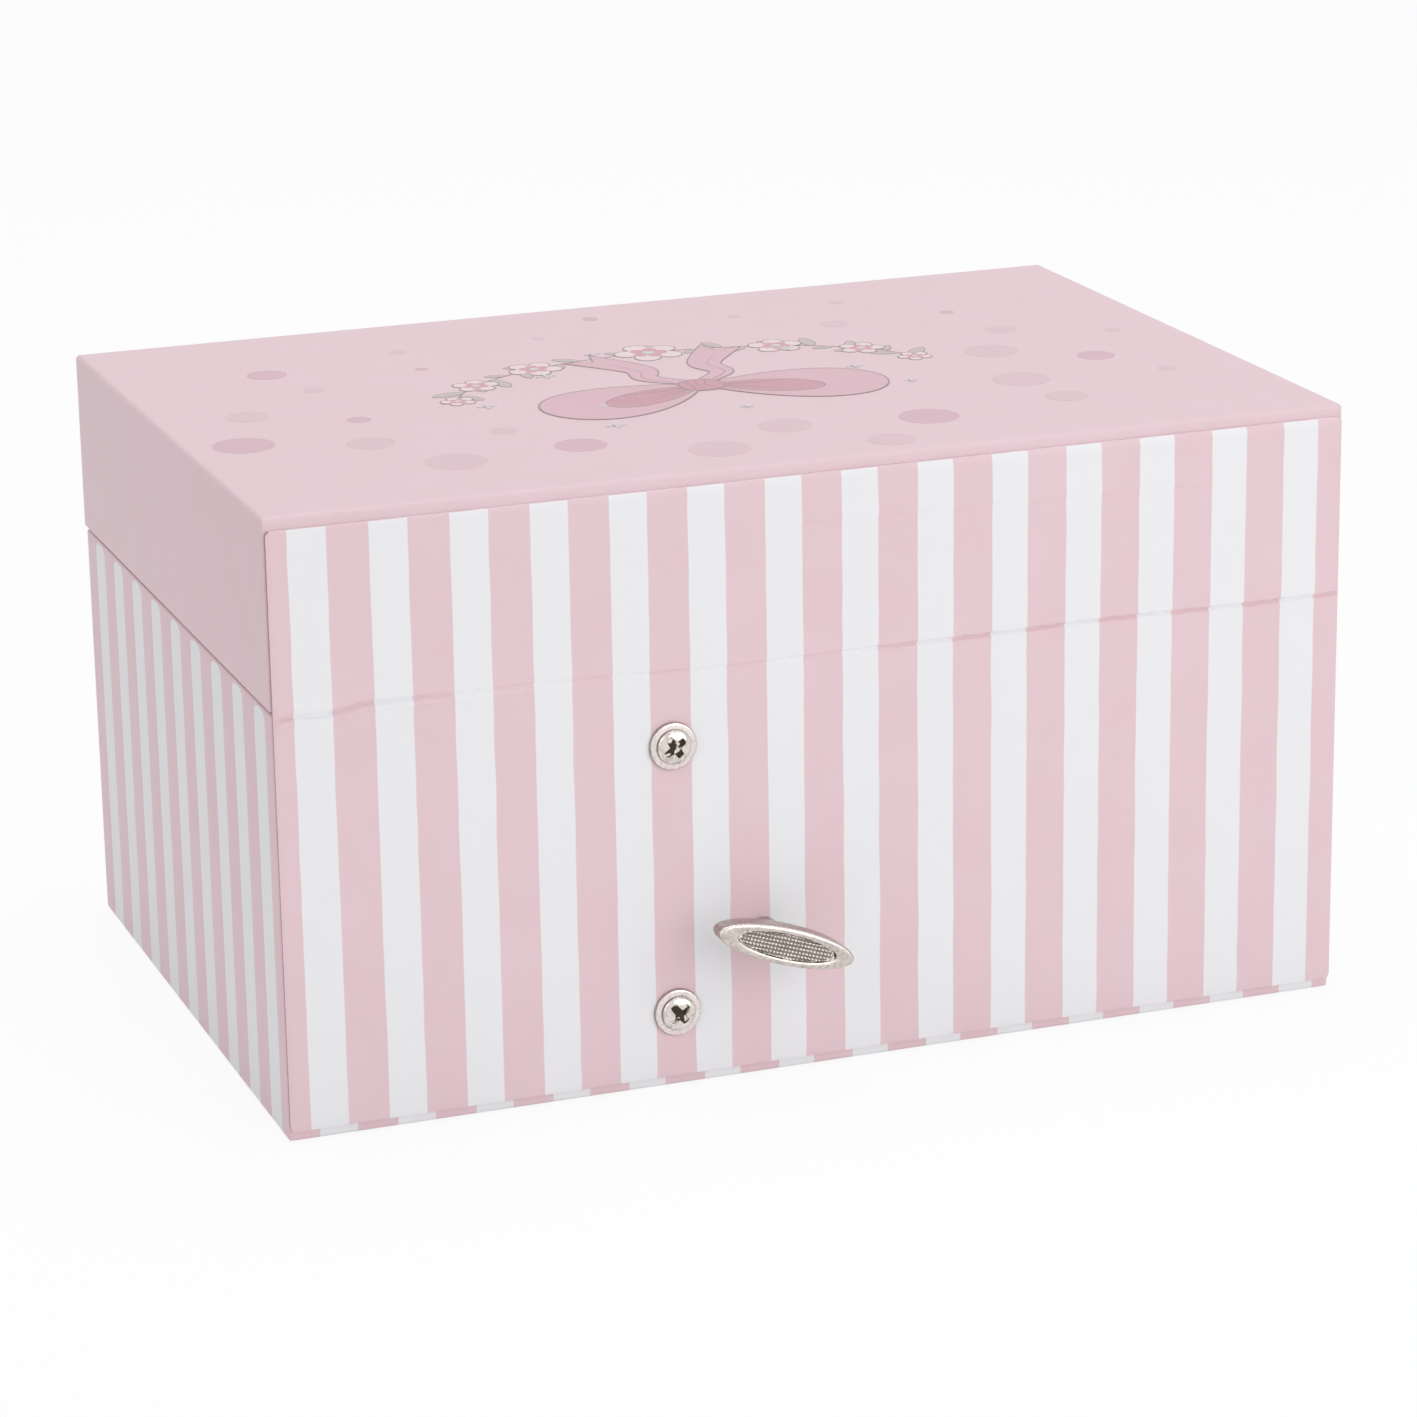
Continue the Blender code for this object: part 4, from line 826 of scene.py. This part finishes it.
def makePrint():
    s = lidPrint
    inks = [printedPaper("ink_" + name, srgb(*rgb)) for name, rgb in inkColours.items()]
    inks.append(plated("ink_silver", srgb(206, 205, 206), 0.28))
    dotPale, dotRose, ribbon, ribbonDeep, petal, heart, leaf, line, silver = range(len(inks))
    thin = s["line"]
    points, faces, slots = [], [], []

    def put(xy, polygons, level, ink):  # design right and up as seen from the front of the box
        start = sum(map(len, points))
        xy = np.asarray(xy) * mm
        points.append(np.concatenate([-xy, np.full((len(xy), 1), s["face"] + s["lift"] * (1 + level))], -1))
        faces.extend((np.asarray(polygons) + start).tolist())
        slots.extend([ink] * len(polygons))

    def fill(xy, level, ink):
        put(xy, [np.arange(len(xy))], level, ink)

    def band(path, width, level, ink, closed=False):  # two edges half a width each side of a path
        path = np.asarray(path)
        along = np.roll(path, -1, 0) - np.roll(path, 1, 0) if closed else np.gradient(path, axis=0)
        along = along / np.linalg.norm(along, axis=1, keepdims=True)
        side = np.stack([-along[:, 1], along[:, 0]], -1) * np.broadcast_to(width, (len(path),))[:, None] / 2
        quads = gridQuads(2, len(path), False, closed)[:, ::-1]
        put(np.stack([path + side, path - side]).reshape(-1, 2), quads, level, ink)

    k = np.arange(s["dots"])  # dots on a spiral of golden turns, clear of the drawing and of the lid's edges
    reach = np.sqrt((k + 0.5) / s["dots"])
    turn = s["goldenTurn"] * k
    spots = np.stack([s["dotField"][0] * reach * np.cos(turn), s["dotField"][1] * reach * np.sin(turn)], -1)
    small, large = s["dotSizes"]
    sizes = small + (large - small) * np.abs(np.sin(1.9 * k + 0.4)) ** 2.2
    free = (spots[:, 0] / s["clear"][0]) ** 2 + (spots[:, 1] / s["clear"][1]) ** 2 > 1
    free &= np.min(np.array(s["room"]) - np.abs(spots), axis=1) > sizes
    a = roundAngles(48)
    for (x, y), r, n in zip(spots[free], sizes[free], k[free]):
        fill(aroundSpot(x, y, r, a), 0.02 * n, dotPale if n % 3 else dotRose)

    def onGarland(t):
        return np.stack([s["garland"][0] * np.cos(t), s["garland"][1] * np.sin(t) + s["garlandRise"]], -1)

    band(onGarland(np.radians(np.linspace(*s["garlandEnds"], 90))), thin * 1.3, 1, line)
    for n, t in enumerate(np.radians(np.linspace(*s["leafEnds"], s["leaves"]))):
        lean = t + math.pi / 2 + (0.9 if n % 2 else -0.9)
        shape = leafShape(*onGarland(t), 6.2 - 1.2 * (n % 3), lean)
        fill(shape, 1.2, leaf)
        band(shape, thin * 0.7, 1.4, line, True)
    for n, (deg, r) in enumerate(s["blossoms"]):
        x, y = onGarland(math.radians(deg))
        shape = blossom(x, y, r, 0.4 * n)
        fill(shape, 2, petal)
        band(shape, thin, 2.3, line, True)
        fill(blossom(x, y, 0.55 * r, 0.4 * n + 0.6), 2.5, heart)
        fill(blossom(x, y, 0.2 * r, 0), 2.8, silver)

    bu, bv = s["bow"]
    for side in (1, -1):
        def flip(xy):  # to the right or mirrored to the left of the knot
            return (np.asarray(xy) * (side, 1) + (bu, bv))[::side]

        path = smoothPath([(1, -2), (6.5, -8), (6, -15), (13, -s["tail"])], 40)
        tail = flip(ribbonTail(path, np.linspace(2.6, 7.2, 40)))
        fill(tail, 3, ribbon)
        band(tail, thin, 3.4, line, True)
        band(flip(path[4:34] + (0.5, 0.3)), np.linspace(thin, 0.06, 30)[::side], 3.4, line)
        loop = flip(tearDrop(*s["loop"], 0.32))
        fill(loop, 4, ribbon)
        band(loop, thin * 1.2, 4.6, line, True)
        fold = flip(tearDrop(s["loop"][0] * 0.66, s["loop"][1] * 0.42, 0.42))
        fill(fold, 4.3, ribbonDeep)
        band(fold, thin * 0.8, 4.6, line, True)
        for lean, far in ((0.14, 15), (0.24, 11), (0.46, 10), (0.58, 13)):
            r = np.linspace(3.4, far, 16)
            crease = np.stack([r * math.cos(lean), r * math.sin(lean) + 0.35 * np.sin(r / far * math.pi)], -1)
            band(flip(crease), np.linspace(thin, 0.05, 16)[::side], 4.8, line)
    a = roundAngles(60)
    ku, kv = s["knot"]
    knot = np.stack([bu + ku * np.cos(a) * (1 - 0.12 * np.cos(2 * a)), bv + kv * np.sin(a)], -1)
    fill(knot, 5, ribbonDeep)
    band(knot, thin * 1.2, 5.2, line, True)
    for u in (-1.6, 0.2, 1.9):
        path = smoothPath([(bu + u, bv + 2.9), (bu + 0.7 * u + 0.4, bv), (bu + u, bv - 2.9)], 12)
        band(path, thin * 0.8, 5.4, line)
    for n in range(s["glints"]):  # four-pointed glints
        t = n * s["goldenTurn"] + 0.7
        far = 0.55 + 0.05 * n
        x, y = s["glintField"][0] * math.cos(t) * far, s["glintField"][1] * math.sin(t) * far + 2
        r = 1.0 + 0.25 * (n % 3)
        fill(aroundSpot(x, y, r * np.abs(np.cos(2 * a)) ** 3 + 0.16 * r, a), 6, silver)
    art = addPiece("lid_print", np.concatenate(points), faces, inks, slots, 30)
    art.data.shade_flat()
    layer = art.modifiers.new("ink_layer", "SOLIDIFY")  # each patch reaches down into the lid's paper
    layer.thickness = s["sink"]
    layer.offset = -1
    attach(art, "lid")


makePrint()
print("lid print made")

# inside: lined panels, mirror and stop wire
lining = dict(edge=0.4 * mm, grow=0.2 * mm, mirrorBevel=3.2 * mm, mirrorCorner=2.5 * mm)


def makeInside():
    for node in ("floor_liner", "divider_left", "divider_right", "cover_front", "cover_left", "cover_right"):
        lo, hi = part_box(node)
        panel = board("lined_" + node, lo, hi, lining["edge"], velvet)
        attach(panel, "base")
        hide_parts(node)
    lo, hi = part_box("lid_lining")
    spread = Vector((lining["grow"], lining["grow"], 0))
    panel = board("lined_lid", lo - spread, hi + spread, lining["edge"], satin)
    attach(panel, "lid")
    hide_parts("lid_lining")

    lo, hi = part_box("mirror")  # glass plate with a ground bevel on the face that looks down
    b, low, top = lining["mirrorBevel"], lo[2], hi[2]
    profile = [(0.5 * mm, top), (0.1 * mm, top - 0.1 * mm), (0, top - 0.4 * mm), (0, low + 0.8 * mm)]
    profile += [(0.1 * mm, low + 0.7 * mm), (b, low + 0.02 * mm), (b + 0.2 * mm, low)]
    rings = ringStack(lo, hi, lining["mirrorCorner"] + b, profile, 12)
    rows, cols = rings.shape[:2]
    slots = np.append(np.repeat([1, 1, 1, 1, 0, 0], cols), [1, 0])  # ground edge, then the silvered face
    glass = addPiece("bevelled_mirror", rings, capped(rows, cols), [silvered, glassEdge], slots, 2)
    flipOut(glass)
    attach(glass, "lid")
    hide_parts("mirror")


lever = dict(
    wire=0.55 * mm, bend=1.3, sides=14,
    path=[
        (14.65, -55.85, 73.09), (14.65, -51.33, 73.09), (14.65, -47, 65.24), (14.65, -47, 60.08),
        (9.55, -47, 60.08), (9.55, -37.25, 57.88), (9.55, -37.25, 47.89), (5.2, -37.25, 47.89),
    ],
)


def bentPath(points, bend):  # straight runs joined by short parabolic bends
    p = np.asarray(points, float)
    back = (p[:-2] - p[1:-1]) / np.linalg.norm(p[:-2] - p[1:-1], axis=1, keepdims=True)
    on = (p[2:] - p[1:-1]) / np.linalg.norm(p[2:] - p[1:-1], axis=1, keepdims=True)
    t = np.linspace(0, 1, 9)[None, :, None]
    a, m, b = (p[1:-1] + bend * back)[:, None], p[1:-1][:, None], (p[1:-1] + bend * on)[:, None]
    curve = (1 - t) ** 2 * a + 2 * t * (1 - t) * m + t**2 * b
    return np.concatenate([p[:1], curve.reshape(-1, 3), p[-1:]])


def makeLever():
    points, faces = tube(bentPath(lever["path"], lever["bend"]) * mm, lever["wire"], lever["sides"])
    wire = addPiece("stop_wire", points, faces, [steel])
    flipOut(wire)
    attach(wire, "lever")
    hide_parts("stop_lever")


makeInside()
makeLever()
print("inside made")

# dancer: seat, fold spring, collar, figure and skirt
dancer = dict(
    x=-11.4 * mm, spindle=-43.0 * mm, coilLow=65.49 * mm, coilLength=12 * mm, coil=2.0 * mm, wire=0.3 * mm,
    turns=6, pivot=(-41.36056 * mm, 71.49 * mm), tip=(-35.36056 * mm, 73.12944 * mm),
    fold=math.radians(89.985), seat=63.89 * mm, foot=1.9, tall=40.0,
)


def laidDown(points):  # figure's own up lies along +Y and its front looks down while the lid is shut
    p = np.asarray(points, float).reshape(-1, 3) * mm
    return np.stack([dancer["x"] + p[:, 0], dancer["tip"][0] + p[:, 2], dancer["tip"][1] - p[:, 1]], -1)


def figurePiece(name, points, faces, material, sharp=60):
    piece = flipOut(addPiece(name, laidDown(points), faces, [material], None, sharp))
    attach(piece, "dancer")
    return piece


def makeSpring():
    d = dancer
    t = np.linspace(0, 1, 24 * d["turns"] + 1)
    curl = tau * d["turns"] * t
    start = np.array([d["x"], d["spindle"], d["coilLow"]])
    upright, faces = tube(start + onCircle(d["coil"], curl, d["coilLength"] * t), d["wire"], 10)
    end = np.array([d["x"], *d["tip"]])
    chord = (end - start) / np.dot(end - start, end - start)
    py, pz = d["pivot"]

    def folded(w):  # the upright wire turned back by the share w of the fold
        c, s = np.cos(-w * d["fold"]), np.sin(-w * d["fold"])
        y, z = upright[:, 1] - py, upright[:, 2] - pz
        return np.stack([upright[:, 0], py + c * y - s * z, pz + s * y + c * z], -1)

    low, high = np.zeros(len(upright)), np.ones(len(upright))
    for _ in range(40):  # halving: the share that the blend will give back at that place
        w = (low + high) / 2
        more = smoothStep((folded(w) - start) @ chord) > w
        low, high = np.where(more, w, low), np.where(more, high, w)
    spring = addPiece("fold_spring", folded((low + high) / 2), faces, [steel], None, 60)
    flipOut(spring)
    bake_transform(spring)
    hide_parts("dancer_spring")

    ring = [(0.02, 0), (2.55, 0), (2.62, 0.08), (2.62, 0.85), (2.52, 0.98), (1.45, 1.0), (1.35, 1.1)]
    ring = np.array(ring + [(1.32, 2.1), (1.2, 2.2), (0.02, 2.2)])  # flange and the spigot inside the coil
    quads = gridQuads(len(ring), 48, True, True)
    seat = turnedGrid(ring * mm, 48) + np.array([d["x"], d["spindle"], d["seat"]])
    piece = addPiece("coil_seat", seat, quads, [nylon], None, 40)
    flipOut(piece)
    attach(piece, "drum_set")
    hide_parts("spring_seat")
    piece = figurePiece("figure_collar", turnedGrid(ring * (1, -1) + (0, 1.6), 48), quads, nylon, 40)
    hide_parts("dancer_collar")


# heights are shares of the figure's height, other sizes are mm; tables pair a share with a size
legs = dict(
    path=[(1.25, 0, 0, 0.545), (1.2, 0.1, 0, 0.44), (0.95, 0.2, 0.3, 0.31), (0.8, 0, 1, 0.22),
          (0.62, 0, 1, 0.10), (0.55, 0.1, 1, 0.05), (0.5, 0, 1, 0.00125)],  # out, forwards, stride, height
    radius=([0, 0.2, 0.42, 0.5, 0.62, 0.82, 0.9, 0.97, 1],
            [1.75, 1.55, 1.1, 1.12, 1.2, 0.72, 0.86, 0.62, 0.45]),
    stride=0.35, shoe=0.095, ankle=([0.08, 0.11, 0.2], [0.86, 0.82, 1.14]), ankleOut=0.63,
    ribbonLow=0.085, ribbonRise=3.4, ribbonTurns=2.5, ribbonLean=0.035, ribbonWire=0.13,
)
torso = dict(
    wide=([0.475, 0.50, 0.53, 0.565, 0.61, 0.645, 0.675, 0.697, 0.712, 0.724, 0.762],
          [2.1, 2.65, 2.5, 1.95, 2.25, 2.6, 2.75, 2.5, 1.6, 0.95, 0.9]),
    deep=([0.475, 0.53, 0.565, 0.64, 0.70, 0.73, 0.762], [0.85, 0.85, 0.82, 0.78, 0.62, 0.95, 1.0]),
    bust=(0.5, 0.643, 0.022), neckline=0.672, cloth=0.12, steps=64,
    strap=[(1.5, 1.75, 0.662), (1.75, 1.5, 0.685), (1.8, 0.1, 0.706), (1.65, -1.35, 0.685),
           (1.4, -1.7, 0.66)],
    strapWire=0.16,
    arm=[(0.045, 0, 0.688), (0.072, 0, 0.7), (0.112, 0.01, 0.742), (0.150, 0.02, 0.8), (0.150, 0.03, 0.88),
         (0.1, 0.03, 0.955), (0.055, 0.03, 0.985), (0.024, 0.035, 1.0)],  # all in shares of the height
    armRadius=([0, 0.1, 0.35, 0.52, 0.75, 0.84, 0.92, 1], [0.75, 0.95, 0.78, 0.66, 0.5, 0.46, 0.52, 0.22]),
)
headForm = dict(
    centre=(0, 0.1, 0.815), radii=(2.35, 2.55, 2.95), rows=96, cols=128, skin=srgb(240, 208, 192),
    paint=[  # colour, strength, then place and half size on the face: aside, up, wide, high
        (srgb(232, 172, 164), 0.5, (0.5, -0.26, 0.2, 0.14)),
        (srgb(250, 248, 246), 1, (0.34, 0.06, 0.115, 0.062)),
        (srgb(92, 74, 66), 1, (0.34, 0.06, 0.05, 0.062)),
        (srgb(84, 62, 54), 1, (0.34, 0.125, 0.13, 0.016)),
        (srgb(150, 112, 92), 1, (0.34, 0.245, 0.14, 0.018)),
        (srgb(204, 98, 112), 1, (0.0, -0.44, 0.15, 0.045)),
    ],
)
hairForm = dict(
    rows=40, cols=160, front=52, back=62, grow=1.055, tuck=0.97,
    bun=(0, -0.55, 0.902), bunRadii=(1.45, 1.45, 1.15), bunRows=48, bunCols=96,
    band=1.42, bandBack=-0.52, bandHeight=0.885, bandWire=0.2,
)
skirt = dict(
    waist=0.56, neck=2.0, folds=12, rows=36, cols=480, thick=0.1, belt=(2.12, 1.78, 0.55), beltWire=0.3,
    layers=((11.0, 0.42, 48), (10.4, 0.0, 36), (9.6, -0.42, 42)),  # rim, lift at the hem, fine folds
)


def height(share):
    return dancer["foot"] + share * dancer["tall"]


def bell(x, wide):
    return np.exp(-((x / wide) ** 2))


def ellipsoid(centre, radii, rows, cols):  # polar grid, closed at both poles by tiny rings
    th = np.linspace(0.004, 0.996, rows)[:, None] * math.pi
    ph = np.arange(cols)[None, :] * tau / cols
    way = np.stack([np.sin(th) * np.sin(ph), np.sin(th) * np.cos(ph), np.cos(th) + 0 * ph], -1)
    return way, way * np.array(radii) + np.array([*centre[:2], height(centre[2])])


def makeLeg(side, end):  # on its point, one leg a little in front
    g = legs
    y = g["stride"] * side
    path = smoothPath([(out * side, on + step * y, height(up)) for out, on, step, up in g["path"]], 60)
    points, faces = tube(path, np.interp(np.linspace(0, 1, 60), *g["radius"]), 24)
    leg = figurePiece("figure_leg_" + end, points, faces, skin)
    leg.data.materials.append(roseSatin)
    low = points[np.asarray(faces[:-2])][..., 2].mean(1) < height(g["shoe"])
    leg.data.polygons.foreach_set("material_index", np.append(low, [False, True]).astype(np.int32))
    t = np.linspace(0, 1, 70)  # shoe ribbon wound up the ankle
    rise = g["ribbonRise"] * t
    z = height(g["ribbonLow"]) + rise
    r = np.interp(z, height(np.array(g["ankle"][0])), g["ankle"][1])
    a = tau * g["ribbonTurns"] * t * side
    middle = (g["ankleOut"] + g["ribbonLean"] * rise) * side
    ribbon = tube(onCircle(r, a, z, middle, y), g["ribbonWire"], 8)
    return [leg, figurePiece("shoe_ribbon_" + end, *ribbon, roseSatin)]


def makeTrunk():  # turned profile flattened front to back; the bodice is the same surface a little larger
    g = torso
    n = g["steps"]
    shares = np.linspace(g["wide"][0][0], g["wide"][0][-1], n)
    wide = np.convolve(np.pad(np.interp(shares, *g["wide"]), 3, mode="edge"), np.ones(7) / 7, "valid")
    deep = np.interp(shares, *g["deep"])
    a = np.arange(n) * tau / n
    ahead = a - math.pi / 2
    full, place, spread = g["bust"]
    bust = full * bell(shares - place, spread)[:, None] * np.clip(np.sin(a), 0, 1)
    bust = bust * (0.5 + 0.5 * np.cos(2 * ahead * 2.2) ** 2)
    across, along = wide[:, None] * np.cos(a), (wide * deep)[:, None] * np.sin(a) + bust
    trunk = np.stack([across, along, height(shares)[:, None] + 0 * a], -1)
    rows = shares < g["neckline"]
    grow = 1 + g["cloth"] / wide[rows][:, None]
    cover = trunk[rows] * np.stack([grow, grow, grow * 0 + 1], -1)
    dip = 0.25 * bell(np.abs(ahead) - 0.75, 0.3) - 0.5 * bell(ahead, 0.35)  # dipped neckline
    cover[..., 2] += np.where((shares[rows] > 0.655)[:, None], dip, 0)
    inside = cover[-1:] * (0.93, 0.93, 1) - (0, 0, 0.1)
    cover = np.concatenate([cover, inside])
    made = [figurePiece("figure_trunk", trunk, capped(n, n), skin)]
    return made + [figurePiece("figure_bodice", cover, capped(len(cover), n), roseSatin)]


def makeArm(side, end):
    g = torso
    path = smoothPath([(x * side, y, height(up)) for x, y, up in g["strap"]], 30)
    strap = figurePiece("bodice_strap_" + end, *tube(path, g["strapWire"], 8), roseSatin)
    path = smoothPath([(x * side, y, z) for x, y, z in g["arm"]], 56) * dancer["tall"]
    path = path + (0, 0, dancer["foot"])
    radius = np.interp(np.linspace(0, 1, 56), *g["armRadius"])
    return [strap, figurePiece("figure_arm_" + end, *tube(path, radius, 18), skin)]


def makeHead():  # egg-shaped, with a small nose; the face is painted on by a colour attribute
    g = headForm
    way, head = ellipsoid(g["centre"], g["radii"], g["rows"], g["cols"])
    x, y, z = way[..., 0], way[..., 1], way[..., 2]
    head[..., 0] *= 1 - 0.16 * smoothStep((-z - 0.1) / 0.8) * np.clip(1 - 0.4 * y, 0.4, 1)  # jaw
    nose = 0.30 * bell(x, 0.09) * bell(z + 0.12, 0.11)
    lips = 0.10 * bell(x, 0.2) * bell(z + 0.42, 0.07)
    eyes = 0.10 * bell(np.abs(x) - 0.34, 0.14) * bell(z - 0.06, 0.1)
    head[..., 1] += np.clip(y, 0, 1) * (nose + lips - eyes)
    piece = figurePiece("figure_head", head, capped(g["rows"], g["cols"]), faceSkin)
    colour = np.broadcast_to(np.array(g["skin"][:3]), (*x.shape, 3)).copy()
    for tone, strength, (aside, up, wide, high) in g["paint"]:
        far = ((np.abs(x) - aside) / wide) ** 2 + ((z - up) / high) ** 2
        colour += (strength * np.exp(-(far**2)) * (y > 0))[..., None] * (np.array(tone[:3]) - colour)
    paint = piece.data.color_attributes.new("paint", "FLOAT_COLOR", "POINT")
    opaque = np.concatenate([colour, np.ones((*x.shape, 1))], -1)
    paint.data.foreach_set("color", opaque.astype(np.float32).ravel())
    return [piece]


def makeHair():  # the upper part of a slightly larger egg down to a hairline, combed towards the bun
    g = hairForm
    ph = np.arange(g["cols"]) * tau / g["cols"]
    reach = (g["front"] + g["back"] * smoothStep((1 - np.cos(ph)) / 1.5)) / 180
    t = np.linspace(0.004, 1, g["rows"])[:, None]
    th = t * reach[None, :] * math.pi
    comb = g["grow"] + 0.010 * np.sin(46 * ph)[None, :] * smoothStep(t * 3) + 0.012 * np.sin(9 * ph + 6 * t)
    comb = np.where(t > g["tuck"], g["tuck"], comb)
    shell = np.stack([comb * np.sin(th) * np.sin(ph), comb * np.sin(th) * np.cos(ph), comb * np.cos(th)], -1)
    x, y, up = headForm["centre"]
    hair = shell * np.array(headForm["radii"]) + (x, y, height(up))
    made = [figurePiece("figure_hair", hair, capped(g["rows"], g["cols"]), hairBrown)]
    way, bun = ellipsoid(g["bun"], g["bunRadii"], g["bunRows"], g["bunCols"])
    swirl = np.arctan2(way[..., 0], way[..., 1])[..., None] + 2.2 * way[..., 2:]
    bun = bun + 0.07 * np.sin(9 * swirl) * way
    made.append(figurePiece("figure_bun", bun, capped(g["bunRows"], g["bunCols"]), hairBrown))
    a = np.linspace(0, tau, 80)
    path = onCircle(g["band"], a, height(g["bandHeight"]) + 0.05 * np.sin(3 * a), 0, g["bandBack"])
    return made + [figurePiece("hair_band", *tube(path, g["bandWire"], 8), roseSatin)]


def makeFigure():
    sides = ((1, "right"), (-1, "left"))
    pieces = [piece for side, end in sides for piece in makeLeg(side, end)]
    pieces += makeTrunk()
    pieces += [piece for side, end in sides for piece in makeArm(side, end)]
    pieces += makeHead() + makeHair()
    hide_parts("dancer_figure")


def makeSkirt():  # layers of gathered net: a drooping ring, waved in folds that grow towards the hem
    g = skirt
    waist, neck, rows, cols = height(g["waist"]), g["neck"], g["rows"], g["cols"]
    reach = np.linspace(0, 1, rows)[:, None]
    a = np.arange(cols)[None, :] * tau / cols
    for n, (rim, lift, fine) in enumerate(g["layers"]):
        r = neck + (rim - neck) * reach
        wave = 0.1 * rim * reach * np.cos(g["folds"] * a + 0.5 * n)
        wave = wave + 0.24 * reach**2 * np.cos(fine * a + n) * (1 + 0.4 * np.sin(5 * a))
        z = waist - 0.28 * rim * reach**1.5 + 0.55 * wave + lift * (0.4 + reach) + 0.3
        upper = onCircle(r, a, z)
        net = np.concatenate([upper, (upper - (0, 0, g["thick"]))[::-1]])
        piece = figurePiece("net_layer_%d" % (n + 1), net, gridQuads(2 * rows, cols, True, True), tulle)
    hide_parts("dancer_skirt")
    a = np.linspace(0, tau, 90)
    wide, deep, rise = g["belt"]
    path = np.stack([wide * np.cos(a), deep * np.sin(a), waist + rise + 0 * a], -1)
    belt = figurePiece("skirt_belt", *tube(path, g["beltWire"], 10), roseSatin)


makeSpring()
makeFigure()
makeSkirt()
print("dancer made")

# finishes of the movement, which stays as it is in the frame
movement = {
    steel: (
        "winding_arbor", "mainspring", "drum_spindle", "idler_arbor", "fly_arbor", "comb", "comb_screw_lower",
        "comb_screw_upper",
    ),
    brass: ("drum", "crown_wheel", "drum_gear", "barrel_gear", "idler_wheel"),
    zinc: ("bedplate", "barrel_cup", "barrel_cap", "governor_frame", "lever_clip"),
    nylon: ("idler_pinion", "fly_pinion", "governor_fly"),
    velvet: ("cover_top",),
}
for finish, names in movement.items():
    for name in names:
        nodes[name].material_slots[0].material = finish
print("movement finished")
